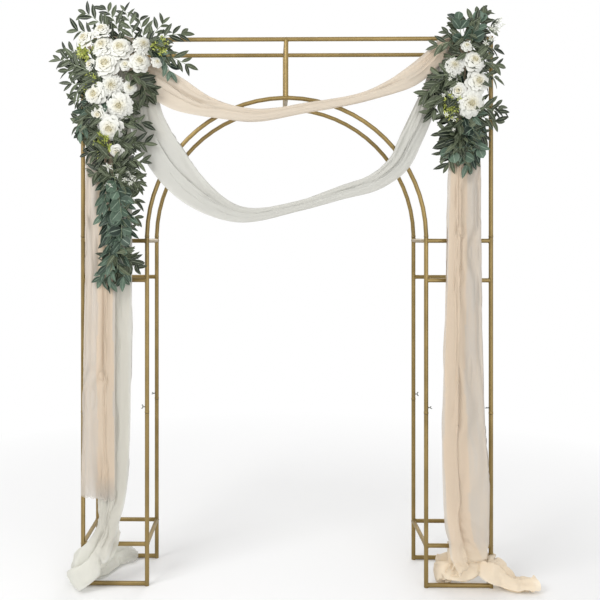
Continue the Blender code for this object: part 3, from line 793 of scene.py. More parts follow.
def spray_tree():
    """Stems from the guide's edges, with leaves on both sides and one at each end."""
    tree, given, result = growing_tree("leaf_spray", {
        "Leaf": "Object", "Spacing": "Float", "Size": "Float", "Spread": "Float", "Taper": "Float",
        "Bare": "Float", "Unruly": "Float", "Opposite": "Bool", "Stem Radius": "Float",
        "Leaf Material": "Material", "Stem Material": "Material",
    })
    curve = put(tree, "GeometryNodeMeshToCurve", {"Mesh": given["Geometry"]}).outputs["Curve"]
    values = {"Curve": curve, "Length": given["Spacing"]}
    spaced = put(tree, "GeometryNodeResampleCurve", values, mode="LENGTH").outputs["Curve"]
    leaf = put(tree, "GeometryNodeObjectInfo", {"Object": given["Leaf"]}).outputs["Geometry"]
    values = {0: put(tree, "GeometryNodeInputTangent").outputs[0], 1: stored(tree, "facing", "FLOAT_VECTOR")}
    turn = put(tree, "FunctionNodeAxesToRotation", values, primary_axis="X", secondary_axis="Z").outputs[0]
    along = put(tree, "GeometryNodeSplineParameter").outputs["Factor"]
    parity = maths(tree, "MODULO", put(tree, "GeometryNodeInputIndex").outputs[0], 2.0)
    clear = maths(tree, "GREATER_THAN", along, given["Bare"])
    tapered = maths(tree, "SUBTRACT", 1.0, maths(tree, "MULTIPLY", along, given["Taper"]))
    unruly = given["Unruly"]
    leaves = put(tree, "GeometryNodeJoinGeometry")
    for number, side in enumerate((1.0, -1.0, 0.0)):
        if side:
            own = maths(tree, "COMPARE", parity, 0.5 - side / 2)
            chosen = maths(tree, "MULTIPLY", maths(tree, "MAXIMUM", own, given["Opposite"]), clear)
        else:
            chosen = put(tree, "GeometryNodeCurveEndpointSelection", {"Start Size": 0}).outputs[0]
        stray = maths(tree, "MULTIPLY", unruly, chance(tree, -0.45, 0.45, 10 + number))
        lean = put(tree, "ShaderNodeCombineXYZ", {
            "X": maths(tree, "MULTIPLY", unruly, chance(tree, -1.0, 1.0, 20 + number)),
            "Y": maths(tree, "MULTIPLY", unruly, chance(tree, -0.8, 0.5, 30 + number)),
            "Z": maths(tree, "ADD", maths(tree, "MULTIPLY", given["Spread"], side), stray),
        }).outputs[0]
        usual = maths(tree, "MULTIPLY", given["Size"], tapered)
        placed = put(tree, "GeometryNodeInstanceOnPoints", {
            "Points": spaced, "Selection": chosen, "Instance": leaf, "Rotation": turned_by(tree, turn, lean),
            "Scale": maths(tree, "MULTIPLY", usual, chance(tree, 0.82, 1.16, 40 + number)),
        }).outputs["Instances"]
        tree.links.new(placed, leaves.inputs[0])
    values = {"Geometry": leaves.outputs[0], "Name": "tone", "Value": chance(tree, 0.0, 1.0, 50)}
    toned = put(tree, "GeometryNodeStoreNamedAttribute", values, domain="INSTANCE").outputs["Geometry"]
    ring = put(tree, "GeometryNodeCurvePrimitiveCircle", {"Resolution": 5, "Radius": given["Stem Radius"]})
    values = {"Curve": spaced, "Profile Curve": ring.outputs["Curve"], "Fill Caps": True}
    stem = put(tree, "GeometryNodeCurveToMesh", values).outputs["Mesh"]
    together = put(tree, "GeometryNodeJoinGeometry")
    tree.links.new(finished(tree, toned, given["Leaf Material"]), together.inputs[0])
    tree.links.new(finished(tree, stem, given["Stem Material"]), together.inputs[0])
    tree.links.new(together.outputs[0], result)
    return tree


def placed_piece(name, tree, rows, part, spin, finish):
    """A piece of equal parts, one for each row of (place, the way it faces, size)."""
    guide = bpy.data.meshes.new(name)
    guide.from_pydata([tuple(place) for place, _, _ in rows], [], [])
    store(guide, "facing", [tuple(way) for _, way, _ in rows])
    store(guide, "size", [size for _, _, size in rows])
    return new_piece(name, grow(guide, tree, {"Part": part, "Spin": spin, "Finish": finish}))


def line_guide(name, lines, closed=False):
    """A mesh of loose edges from lines, each a list of points with their sizes or with the way they face."""
    points = []
    edges = []
    values = []
    for line, value in lines:
        first = len(points)
        points += [tuple(point) for point in line]
        values += value if isinstance(value, list) else [tuple(value)] * len(line)
        edges += [(first + step, first + step + 1) for step in range(len(line) - 1)]
        if closed:
            edges.append((len(points) - 1, first))
    mesh = bpy.data.meshes.new(name)
    mesh.from_pydata(points, edges, [])
    store(mesh, "facing" if isinstance(values[0], tuple) else "size", values)
    return mesh


def drawn_piece(name, tree, lines, radius, sides, finish, flat=1.0, closed=False):
    """A piece of tubes drawn along lines."""
    values = {"Radius": radius, "Flat": flat, "Sides": sides, "Finish": finish}
    return new_piece(name, grow(line_guide(name, lines, closed), tree, values))


# Fittings of the frame

UPRIGHTS = [(face * PLANE_Y, side, x) for face in (-1, 1) for side in (-1, 1) for x in (INNER_X, OUTER_X)]
RAIL_HEIGHTS = (TUBE_RADIUS, LOWER_RAIL_Z, MIDDLE_RAIL_Z, SPRING_RAIL_Z)
SCREW_ABOVE_SEAM = 0.028
SCREW_SIZE = 0.72
WELD_RADIUS = 0.0013
WELD_STEPS = 24
# How far the bead stands off the tube's round and along the branch
WELD_PROUD = 0.0002
WELD_ALONG = 0.0004
# Turned outlines, as radius and height
SCREW_SHANK = (
    (0.0, -0.003), (0.0021, -0.003), (0.0021, 0.0076), (0.0046, 0.0080), (0.0048, 0.0096), (0.0038, 0.0142),
    (0.0022, 0.0158), (0.0, 0.0160),
)
SCREW_WASHER = ((0.0022, 0.0002), (0.0052, 0.0002), (0.0052, 0.0013), (0.0022, 0.0013))
SLEEVE_WALL = (
    (0.0092, 0.0010), (0.0099, 0.0010), (0.0103, 0.0030), (0.0101, 0.0080), (0.0096, 0.0110),
    (0.0092, 0.0110),
)
SEAM_GAP = ((0.0092, -0.0004), (0.00962, -0.0004), (0.00962, 0.0010), (0.0092, 0.0010))
# Half of the wing's thickness near the screw, as far out as its root reaches, and beyond
WING_ROOT = 0.006
ROOT_THICKNESS = 0.0016
WING_THICKNESS = 0.0010
# Half of the steel wing, out from the screw's axis and up
WING_OUTLINE = (
    (0.0026, 0.0092), (0.0074, 0.0096), (0.0122, 0.0128), (0.0142, 0.0172), (0.0132, 0.0208),
    (0.0104, 0.0212), (0.0076, 0.0172), (0.0052, 0.0148), (0.0026, 0.0142),
)


def turned_shape(work, profile, sides, closed=False):
    """Adds a turned shape round Z from (radius, height) points to a bmesh; a radius of nought closes it."""
    rings = []
    for radius, height in profile:
        if radius == 0:
            rings.append([work.verts.new((0.0, 0.0, height))] * sides)
            continue
        turns = [2 * math.pi * step / sides for step in range(sides)]
        spots = [(radius * math.cos(turn), radius * math.sin(turn), height) for turn in turns]
        rings.append([work.verts.new(spot) for spot in spots])
    pairs = list(zip(rings, rings[1:]))
    if closed:
        pairs.append((rings[-1], rings[0]))
    for low, high in pairs:
        for step in range(sides):
            after = (step + 1) % sides
            work.faces.new(list(dict.fromkeys((low[step], low[after], high[after], high[step]))))


def part_object(name, work):
    """The object of a part that a tree places, with its faces turned outwards."""
    bmesh.ops.recalc_face_normals(work, faces=work.faces)
    mesh = bpy.data.meshes.new(name)
    work.to_mesh(mesh)
    work.free()
    return bpy.data.objects.new(name, mesh)


def turned_part(name, profile, sides, closed=False):
    """An object of one turned shape."""
    work = bmesh.new()
    turned_shape(work, profile, sides, closed)
    return part_object(name, work)


def wing_screw():
    """A steel wing screw that stands off along Z from the tube's wall at nought."""
    work = bmesh.new()
    turned_shape(work, SCREW_SHANK, 12)
    turned_shape(work, SCREW_WASHER, 12, closed=True)
    for side in (-1, 1):
        sheets = []
        for face in (-1, 1):
            sheet = []
            for out, up in WING_OUTLINE:
                thick = ROOT_THICKNESS if out < WING_ROOT else WING_THICKNESS
                sheet.append(work.verts.new((side * out, face * thick, up)))
            sheets.append(sheet)
        front, back = sheets
        work.faces.new(front)
        work.faces.new(list(reversed(back)))
        for step, corner in enumerate(front):
            after = (step + 1) % len(front)
            work.faces.new((corner, back[step], back[after], front[after]))
    return part_object("wing_screw", work)


def weld_loop(centre, branch, main):
    """The seam where a tube that leaves along `branch` meets the wall of a like tube along `main`, and the
    bead's uneven sizes."""
    branch, main = Vector(branch), Vector(main)
    third = branch.cross(main)
    points = []
    sizes = []
    for step in range(WELD_STEPS):
        turn = 2 * math.pi * (step + 0.5) / WELD_STEPS
        spot = Vector(centre) + (TUBE_RADIUS + WELD_PROUD) * (math.sin(turn) * third + math.cos(turn) * main)
        spot += branch * (TUBE_RADIUS * abs(math.cos(turn)) + WELD_ALONG)
        spot.z = max(spot.z, WELD_RADIUS)
        points.append(spot)
        sizes.append(1.0 + 0.22 * math.sin(5.0 * turn + 40.0 * (centre[0] + centre[2])))
    return points, sizes


def weld_seams():
    """Every welded or coped joint of the frame, as loops round the tube that ends there."""
    joints = []
    for y, side, x in UPRIGHTS:
        inwards = (-side if x == OUTER_X else side, 0, 0)
        through = (0, -math.copysign(1, y), 0)
        top = (TOP_RAIL_Z,) if x == OUTER_X else ()
        rows = [(height, inwards) for height in RAIL_HEIGHTS + top]
        rows += [(height, through) for height in (LOWER_RAIL_Z, SPRING_RAIL_Z) + top]
        joints += [((side * x, y, height), way, (0, 0, 1)) for height, way in rows]
    for y in (-PLANE_Y, PLANE_Y):
        for height, way in ((TOP_RAIL_Z, (0, 0, -1)), (APEX_Z, (0, 0, 1))):
            joints.append(((0, y, height), (0, -math.copysign(1, y), 0), (1, 0, 0)))
            joints.append(((0, y, height), way, (1, 0, 0)))
    return [weld_loop(*joint) for joint in joints]


def steel_finish():
    """Dull zinc-plated steel."""
    made, tree, shader = new_material("zinc_steel")
    cloud = noise(tree, place_on(tree), 300.0, 3.0)
    tone = ramp(tree, cloud, (0.3, (0.19, 0.20, 0.19)), (0.7, (0.30, 0.31, 0.29)))
    feed(tree, shader, {"Base Color": tone, "Metallic": 0.8, "Roughness": 0.38})
    return made


def plain_finish(name, colour, roughness, grain_scale, grain_depth):
    """One colour with a fine uneven grain in its tone and its surface."""
    made, tree, shader = new_material(name)
    grain = noise(tree, place_on(tree), grain_scale, 3.0)
    tone = ramp(tree, grain, (0.3, tuple(0.75 * part for part in colour)), (0.7, colour))
    normal = bumped(tree, grain, 0.3, grain_depth)
    feed(tree, shader, {"Base Color": tone, "Roughness": roughness, "Normal": normal})
    return made


def fit_hardware(place, draw):
    """Wing screws above the leg seams of the uprights, the flared sleeves at all seams and the weld beads."""
    gold = bpy.data.materials["satin_gold"]
    screws = []
    sleeves = []
    for y, side, x in UPRIGHTS:
        inwards = -side if x == OUTER_X else side
        wall = (side * x + inwards * TUBE_RADIUS, y, LEG_SEAM_Z + SCREW_ABOVE_SEAM)
        screws.append((wall, (inwards, 0, 0), SCREW_SIZE))
        sleeves += [((side * x, y, seam), (0, 0, 1), 1.0) for seam in (LEG_SEAM_Z, SPRING_Z)]
    placed_piece("wing_screws", place, screws, wing_screw(), 1.4, steel_finish())
    sleeve = turned_part("sleeve", SLEEVE_WALL, 20, closed=True)
    placed_piece("seam_sleeves", place, sleeves, sleeve, 0.0, gold)
    gap = turned_part("gap", SEAM_GAP, 20, closed=True)
    shadow = plain_finish("seam_shadow", (0.045, 0.035, 0.020), 0.8, 200.0, 0.0001)
    placed_piece("seam_lines", place, sleeves, gap, 0.0, shadow)
    drawn_piece("weld_beads", draw, weld_seams(), WELD_RADIUS, 6, gold, closed=True)


# Silk leaves and flowers

# Ends of the leafy sprays as the photograph shows them, across and up, and the wired spines that they leave
LEFT_SPINE = ((-0.60, 2.335), (-0.70, 2.31), (-0.765, 2.20), (-0.765, 2.06), (-0.745, 1.92), (-0.735, 1.78))
LEFT_TIPS = (
    (-0.787, 2.540), (-0.885, 2.512), (-0.700, 2.530), (-0.645, 2.506), (-0.505, 2.470), (-0.408, 2.405),
    (-0.392, 2.250), (-0.980, 2.345), (-1.008, 2.300), (-0.973, 2.250), (-0.961, 2.180), (-0.945, 2.110),
    (-0.921, 2.055), (-0.935, 1.995), (-0.890, 1.880), (-0.867, 1.795), (-0.590, 2.105), (-0.575, 2.020),
    (-0.565, 1.930), (-0.580, 1.850), (-0.590, 1.760), (-0.930, 2.430), (-0.560, 2.400), (-0.470, 2.330),
    (-0.905, 1.950), (-0.875, 1.905), (-0.845, 1.850), (-0.835, 1.790), (-0.610, 1.800), (-0.640, 1.740),
)
TRAIL_SPINE = ((-0.735, 1.86), (-0.735, 1.72), (-0.728, 1.58), (-0.728, 1.46))
TRAIL_TIPS = (
    (-0.608, 1.690), (-0.604, 1.615), (-0.641, 1.545), (-0.641, 1.440), (-0.618, 1.372), (-0.806, 1.609),
    (-0.814, 1.402), (-0.700, 1.330), (-0.806, 1.740), (-0.600, 1.760), (-0.612, 1.410),
)
RIGHT_SPINE = ((0.755, 2.37), (0.768, 2.24), (0.755, 2.08), (0.735, 1.96))
RIGHT_TIPS = (
    (0.842, 2.514), (0.878, 2.496), (0.905, 2.436), (0.924, 2.329), (0.929, 2.262), (0.924, 2.200),
    (0.941, 2.075), (0.925, 2.010), (0.648, 2.405), (0.598, 2.335), (0.588, 2.213), (0.560, 2.127),
    (0.581, 2.060), (0.620, 1.975), (0.875, 1.950), (0.700, 2.470), (0.870, 2.390), (0.640, 2.280),
    (0.672, 1.800), (0.735, 1.830), (0.795, 1.805), (0.835, 1.880), (0.650, 1.890),
)
# Hanging strands of long silvery, broad dark and round silvery leaves, as points across and up
LONG_STRANDS = (
    ((-0.745, 1.820), (-0.768, 1.740), (-0.776, 1.640), (-0.770, 1.570)),
    ((-0.740, 1.760), (-0.756, 1.640), (-0.764, 1.520), (-0.760, 1.430)),
    ((-0.735, 1.700), (-0.744, 1.560), (-0.756, 1.430), (-0.788, 1.360)),
    ((-0.730, 1.620), (-0.735, 1.500), (-0.745, 1.400), (-0.757, 1.340)),
    ((-0.725, 1.780), (-0.700, 1.700), (-0.680, 1.620), (-0.672, 1.560)),
    ((-0.720, 1.600), (-0.700, 1.500), (-0.690, 1.410), (-0.695, 1.360)),
    ((-0.770, 2.120), (-0.850, 2.060), (-0.880, 1.980)),
    ((-0.600, 2.330), (-0.530, 2.295), (-0.500, 2.235)),
    ((0.760, 2.060), (0.800, 2.020), (0.820, 1.960)),
    ((0.740, 2.060), (0.770, 1.970), (0.790, 1.890), (0.770, 1.840)),
    ((0.752, 2.235), (0.738, 2.208), (0.724, 2.188)),
    ((-0.762, 2.130), (-0.774, 2.104), (-0.788, 2.082)),
)
BROAD_STRANDS = (
    ((-0.700, 2.230), (-0.645, 2.205), (-0.590, 2.165)),
    ((-0.640, 2.215), (-0.610, 2.170), (-0.600, 2.130)),
    ((0.720, 2.215), (0.650, 2.180), (0.600, 2.140)),
    ((0.700, 2.150), (0.655, 2.115), (0.625, 2.070)),
    ((0.745, 2.020), (0.700, 1.960), (0.672, 1.890)),
)
ROUND_STRANDS = (
    ((-0.745, 1.840), (-0.722, 1.740), (-0.700, 1.640), (-0.700, 1.520), (-0.712, 1.400)),
    ((0.745, 2.310), (0.730, 2.380), (0.722, 2.440)),
    ((0.765, 2.320), (0.790, 2.380), (0.800, 2.430)),
    ((0.745, 2.020), (0.722, 1.950), (0.700, 1.890)),
    ((0.760, 2.020), (0.790, 1.960), (0.806, 1.905)),
    ((0.752, 2.000), (0.750, 1.940), (0.745, 1.880)),
)
# Sprigs of filler: across, up and the way they lean
GREEN_SPRIGS = (
    (-0.531, 2.333, 0.5), (-0.840, 2.176, 2.6), (-0.780, 1.930, -2.0), (-0.776, 1.900, -1.6),
    (-0.846, 2.306, -2.6), (0.694, 2.085, 2.8), (0.694, 2.050, -2.3),
)
WHITE_SPRIGS = (
    (-0.695, 1.820, -1.2), (-0.675, 1.800, -0.9), (0.870, 2.380, 1.2), (0.730, 2.190, 2.6),
    (0.700, 2.060, -2.0),
)
LEAF_Y = -0.214
BLOOM_Y = -0.262
# How far a stem ends short of its tip
LEAF_REACH = 0.045
# How far stems scatter and bow to the front, and how far some of them and the star heads stand out
STEM_SCATTER = 0.018
STEM_BOW = 0.022
STRAND_BOW = 0.02
INNER_LIFT = 0.014
SPRIG_LIFT = 0.030
STAR_LIFT = 0.018
# Flower heads: across, up, radius and form
HEADS = (
    (-0.780, 2.398, 0.038, "rose"), (-0.851, 2.360, 0.041, "rose"), (-0.775, 2.330, 0.048, "peony"),
    (-0.704, 2.320, 0.052, "rose"), (-0.762, 2.252, 0.058, "rose"), (-0.607, 2.333, 0.042, "carnation"),
    (-0.622, 2.263, 0.045, "rose"), (-0.549, 2.262, 0.024, "rose"), (-0.829, 2.252, 0.027, "cup"),
    (-0.682, 2.252, 0.026, "cup"), (-0.736, 2.164, 0.048, "carnation"), (-0.806, 2.128, 0.051, "rose"),
    (-0.662, 2.158, 0.029, "cup"), (-0.706, 2.080, 0.056, "peony"), (-0.792, 2.044, 0.037, "cup"),
    (-0.744, 1.988, 0.054, "rose"), (-0.716, 1.888, 0.031, "cup"), (-0.752, 1.820, 0.026, "star"),
    (-0.748, 1.742, 0.021, "star"), (-0.709, 1.784, 0.014, "star"), (-0.679, 1.767, 0.016, "star"),
    (-0.666, 1.797, 0.010, "star"), (-0.658, 1.750, 0.012, "star"),
    (0.783, 2.262, 0.046, "rose"), (0.797, 2.175, 0.050, "rose"), (0.715, 2.138, 0.037, "cup"),
    (0.768, 2.086, 0.058, "peony"), (0.703, 2.243, 0.038, "carnation"), (0.854, 2.396, 0.021, "star"),
    (0.850, 2.352, 0.022, "star"), (0.828, 2.333, 0.018, "star"), (0.653, 2.117, 0.010, "star"),
    (0.664, 2.037, 0.012, "star"), (0.694, 1.974, 0.010, "star"), (0.679, 2.185, 0.011, "star"),
    (0.753, 2.325, 0.025, "rose"),
)
# Rings of petals from the heart outwards: reach of the rim and number of petals
PETAL_RINGS = {
    "rose": ((0.36, 4), (0.50, 5), (0.65, 5), (0.82, 6), (1.0, 7)),
    "peony": ((0.30, 6), (0.42, 7), (0.54, 7), (0.67, 8), (0.80, 9), (0.91, 9), (1.0, 10)),
    "carnation": ((0.20, 6), (0.34, 9), (0.48, 10), (0.62, 12), (0.76, 13), (0.90, 14), (1.0, 14)),
    "cup": ((0.34, 3), (0.60, 5), (0.82, 5), (1.0, 6)),
    "star": ((1.0, 6),),
}
PETAL_RUFFLE = {"rose": 0.025, "peony": 0.04, "carnation": 0.085, "cup": 0.02, "star": 0.0}
# The pad at a head's heart: its height and its radius
HEART_PADS = {"rose": (0.46, 0.34), "peony": (0.46, 0.32), "carnation": (0.36, 0.30), "cup": (0.42, 0.26)}
CALYX_OUTLINE = (
    (0.0, -0.62), (0.07, -0.62), (0.09, -0.48), (0.30, -0.36), (0.44, -0.20), (0.40, -0.14), (0.0, -0.20),
)
# Half-widths along a leaf of length one
POINTED_LEAF = ((0.0, 0.0), (0.10, 0.07), (0.35, 0.150), (0.62, 0.140), (0.86, 0.07), (1.0, 0.0))
ROUND_LEAF = ((0.0, 0.0), (0.06, 0.06), (0.25, 0.34), (0.55, 0.44), (0.85, 0.30), (1.0, 0.0))
LONG_LEAF = ((0.0, 0.0), (0.10, 0.07), (0.35, 0.17), (0.60, 0.19), (0.85, 0.09), (1.0, 0.0))
LEAF_CHIP = ((0.0, 0.05), (0.5, 0.28), (1.0, 0.0))
WIRE_STEPS = 28
WIRE_GAP = 0.0012
# Where wires hold a spine: across and up
WIRE_PLACES = ((-0.62, 2.330), (-0.66, 2.320), (-0.70, 2.310), (-0.74, 2.245), (0.755, 2.370), (0.760, 2.330))
# Where bands hold the gathered cloth: across, depth, up and radius
BAND_PLACES = (
    (-0.721, -0.180, 2.362, 0.036), (-0.683, -0.169, 2.330, 0.034), (0.722, -0.180, 2.362, 0.036),
    (0.682, -0.169, 2.326, 0.034),
)


def leaf_object(name, outline, fold, droop, rows=7, half=2):
    """One leaf along X from its stalk, one unit long, with half-widths along it, folded at its midrib."""
    spots, widths = zip(*outline)
    points = []
    margin = []
    for step in np.linspace(0, 1, rows):
        reach = float(np.interp(step, spots, widths))
        for column in range(-half, half + 1):
            part = column / half
            points.append((step, part * reach, fold * abs(part) * reach - droop * step**2))
            margin.append(abs(part))
    mesh = bpy.data.meshes.new(name)
    mesh.from_pydata(points, [], sheet_faces(rows, 2 * half + 1).tolist())
    store(mesh, "margin", margin)
    return bpy.data.objects.new(name, mesh)


def nearest_on(spine, tip):
    """The place on a spine nearest to a tip."""
    best = None
    for start, end in zip(spine[:-1], spine[1:]):
        start, end = Vector(start), Vector(end)
        share = max(0.0, min(1.0, (Vector(tip) - start).dot(end - start) / (end - start).length_squared))
        spot = start + (end - start) * share
        if best is None or (spot - Vector(tip)).length < (best - Vector(tip)).length:
            best = spot
    return best


def stems_to(tips, spine, seed, inner):
    """Arched stems from a spine to the tips, with some shorter inner ones between them."""
    dice = random.Random(seed)
    wanted = [(Vector(tip), 0.0) for tip in tips]
    lower_tips = [tip for tip in tips if tip[1] < TOP_RAIL_Z]
    for _ in range(inner):
        tip = Vector(dice.choice(lower_tips))
        start = nearest_on(spine, tip)
        nudge = Vector((dice.uniform(-0.03, 0.03), dice.uniform(-0.04, 0.02)))
        wanted.append((start.lerp(tip, dice.uniform(0.45, 0.8)) + nudge, INNER_LIFT))
    stems = []
    for tip, lift in wanted:
        start = nearest_on(spine, tip)
        reach = (tip - start).length
        end = start + (tip - start) * max(0.25, 1 - LEAF_REACH / max(reach, 0.001))
        side = Vector((-(end - start).y, (end - start).x)) * dice.uniform(-0.16, 0.16)
        middle = (start + end) / 2 + side + Vector((0.0, 0.08 * reach))
        depth = LEAF_Y - lift - dice.uniform(0.0, STEM_SCATTER)
        stem = []
        for step in np.linspace(0, 1, 9):
            spot = start * (1 - step) ** 2 + middle * 2 * step * (1 - step) + end * step**2
            stem.append((spot.x, depth - STEM_BOW * math.sin(math.pi * step), spot.y))
        away = (tip - start) / max(reach, 0.001)
        across = 0.35 * away.x + dice.uniform(-0.2, 0.2)
        up = 0.35 * away.y + dice.uniform(-0.2, 0.3)
        stems.append((stem, Vector((across, -1.0, up)).normalized()))
    return stems


def smooth_route(route, count):
    """Points spread evenly along a smooth curve through a route's points, across and up."""
    return curve_through(np.linspace(0, 1, len(route)), np.array(route), np.linspace(0, 1, count))


def strand_stems(routes, lift):
    """Smooth stems along hanging routes, proud of the leaves behind them."""
    stems = []
    for number, route in enumerate(routes):
        steps = np.linspace(0, 1, 12)
        flat = smooth_route(route, len(steps))
        bows = [LEAF_Y - lift - STRAND_BOW * math.sin(math.pi * step) for step in steps]
        stem = [(x, depth, z) for depth, (x, z) in zip(bows, flat)]
        stems.append((stem, Vector((0.2 * math.sin(2.1 * number), -1.0, 0.25)).normalized()))
    return stems


def sprig_stems(places, length, fan, spread, seed):
    """Fans of short twigs that lean out of the flowers."""
    dice = random.Random(seed)
    stems = []
    for x, z, lean in places:
        for _ in range(fan):
            turn = lean + dice.uniform(-spread, spread)
            reach = length * dice.uniform(0.7, 1.1)
            rise = dice.uniform(0.012, 0.030)
            stem = []
            for step in np.linspace(0, 1, 5):
                out = step * reach
                depth = LEAF_Y - SPRIG_LIFT - rise * step
                stem.append((x + out * math.cos(turn), depth, z + out * math.sin(turn)))
            stems.append((stem, Vector((0.0, -1.0, 0.2)).normalized()))
    return stems


def leaf_finish(name, deep, light, rim, rib_strength=1.0):
    """Dyed silk leaf: each leaf its own tone, a pale rib and edge, and a fine cloth grain."""
    made, tree, shader = new_material(name)
    own = ramp(tree, told(tree, "tone"), (0.0, deep), (1.0, light))
    bare = (0.0, 0.0, 0.0)
    stops = ((0.0, (rib_strength,) * 3), (0.10, bare), (0.86, bare), (1.0, (0.42, 0.42, 0.42)))
    lined = blended(tree, ramp(tree, told(tree, "margin"), *stops), own, (*rim, 1.0))
    place = place_on(tree)
    patch = ramp(tree, noise(tree, place, 110.0, 3.0), (0.3, (0.62, 0.62, 0.62)), (0.7, (1.2, 1.2, 1.2)))
    feed(tree, shader, {
        "Base Color": blended(tree, 0.6, lined, patch, "MULTIPLY"), "Roughness": 0.42,
        "Specular IOR Level": 0.28,
        "Normal": bumped(tree, noise(tree, place, 1400.0, 1.0), 0.2, 0.0004),
    })
    return made


def petal_finish(name, rim, heart):
    """Silk petals, deeper towards the heart, with faint veins."""
    made, tree, shader = new_material(name)
    tone = ramp(tree, told(tree, "heart"), (0.10, rim), (0.95, heart))
    vein = noise(tree, place_on(tree), 380.0, 3.0)
    feed(tree, shader, {
        "Base Color": tone, "Roughness": 0.7, "Sheen Weight": 0.2, "Normal": bumped(tree, vein, 0.2, 0.0008),
    })
    through = put(tree, "ShaderNodeBsdfTranslucent", {"Color": tone}).outputs["BSDF"]
    surface = mixed(tree, 0.25, shader.outputs["BSDF"], through)
    feed(tree, tree.nodes["Material Output"], {"Surface": surface})
    return made


def petal_spot(form, reach, crown, lift, side):
    """How far out and how high a petal's surface is: `lift` from its foot to its rim, `side` across it."""
    if form == "star":
        return 0.06 + 0.94 * lift, 0.22 * lift**2
    foot_out = 0.55 * reach
    foot_up = crown - 0.26 - 0.10 * reach
    out = foot_out + (reach - foot_out) * lift**1.5
    up = foot_up + (crown - foot_up) * (1 - (1 - lift) ** 2.3)
    curl = max(0.0, (lift - 0.72) / 0.28) ** 2
    out += curl * (0.02 + 0.07 * reach)
    up -= curl * (0.03 + 0.10 * reach)
    return out + 0.030 * side, up


def flower_head(form, seed):
    """A head of radius one that looks along Z: rings of petals round a rolled heart."""
    dice = random.Random(seed)
    ruffle = PETAL_RUFFLE[form]
    points = []
    faces = []
    hearts = []

    def add_sheet(rows, columns, spot):
        first = len(points)
        for row in range(rows):
            for column in range(columns):
                place, heart = spot(row / (rows - 1), 2 * column / (columns - 1) - 1)
                points.append(place)
                hearts.append(heart)
        faces.extend((first + sheet_faces(rows, columns)).tolist())

    for number, (reach, count) in enumerate(PETAL_RINGS[form]):
        for petal in range(count):
            turn = 2 * math.pi * (petal + 0.5 * number) / count + dice.uniform(-0.12, 0.12)
            half = math.pi / count * (0.62 if form == "star" else 1.25) * dice.uniform(0.92, 1.08)
            own_reach = reach * dice.uniform(0.96, 1.03)
            crown = (0.56 if form == "carnation" else 0.60) * (1 - 0.92 * own_reach**2.4)
            crown += dice.uniform(-0.025, 0.025)
            phase = dice.uniform(0, 2 * math.pi)

            def spot(step, side):
                lift = step * (1 - 0.12 * side**2 - 0.10 * side**4)
                out, up = petal_spot(form, own_reach, crown, lift, side)
                wave = math.sin(side * 6.5 + phase) + 0.6 * math.sin(side * 11.0 - 2 * phase)
                out += ruffle * wave * lift**3
                up += 0.8 * ruffle * math.cos(side * 8.0 + phase) * lift**3
                if form == "star":
                    spread = math.sin(math.pi * (0.15 + 0.80 * step))
                else:
                    spread = 0.75 + 0.25 * math.sin(math.pi * min(1.0, 0.2 + 0.55 * step))
                angle = turn + side * half * spread
                heart = max(0.0, 1 - 1.3 * own_reach) * 0.9 + 0.35 * (1 - lift) ** 1.5
                return (out * math.cos(angle), out * math.sin(angle), up), heart

            add_sheet(6, 7, spot)

    if form in ("rose", "peony"):
        start = dice.uniform(0, 6.28)

        def rolled(step, along):
            share = (along + 1) / 2
            out = 0.035 + 0.27 * share - 0.03 * (1 - step)
            up = 0.36 + (0.27 - 0.06 * share) * step
            angle = start + 2 * math.pi * 2.2 * share
            return (out * math.cos(angle), out * math.sin(angle), up), 0.85 - 0.35 * step

        add_sheet(3, 34, rolled)
    if form in HEART_PADS:
        high, wide = HEART_PADS[form]

        def pad(step, around):
            out = max(0.001, wide * step)
            angle = math.pi * around
            return (out * math.cos(angle), out * math.sin(angle), high - 0.16 * step**2), 1.0

        add_sheet(4, 13, pad)
    mesh = bpy.data.meshes.new(form)
    mesh.from_pydata(points, [], faces)
    store(mesh, "heart", hearts)
    return bpy.data.objects.new(form, mesh)


def head_rows(heads, centre):
    """Places of flower heads with the way that they look and their radius."""
    rows = []
    for x, z, radius, form in heads:
        way = Vector((1.1 * (x - centre[0]), -0.34, 0.8 * (z - centre[1]) + 0.05)).normalized()
        rows.append(((x, BLOOM_Y - (STAR_LIFT if form == "star" else 0.0), z), way, radius))
    return rows


def bloom_stems(heads, spine):
    """Curved stalks from the wired spine to the back of each flower head."""
    lines = []
    for x, z, radius, _ in heads:
        root = nearest_on(spine, (x, z))
        rise = BLOOM_Y + 0.5 * radius - LEAF_Y
        line = [
            (root.x + (x - root.x) * step, LEAF_Y + rise * step**2, root.y + (z - root.y) * step)
            for step in np.linspace(0, 1, 6)
        ]
        lines.append((line, [1.0] * len(line)))
    return lines


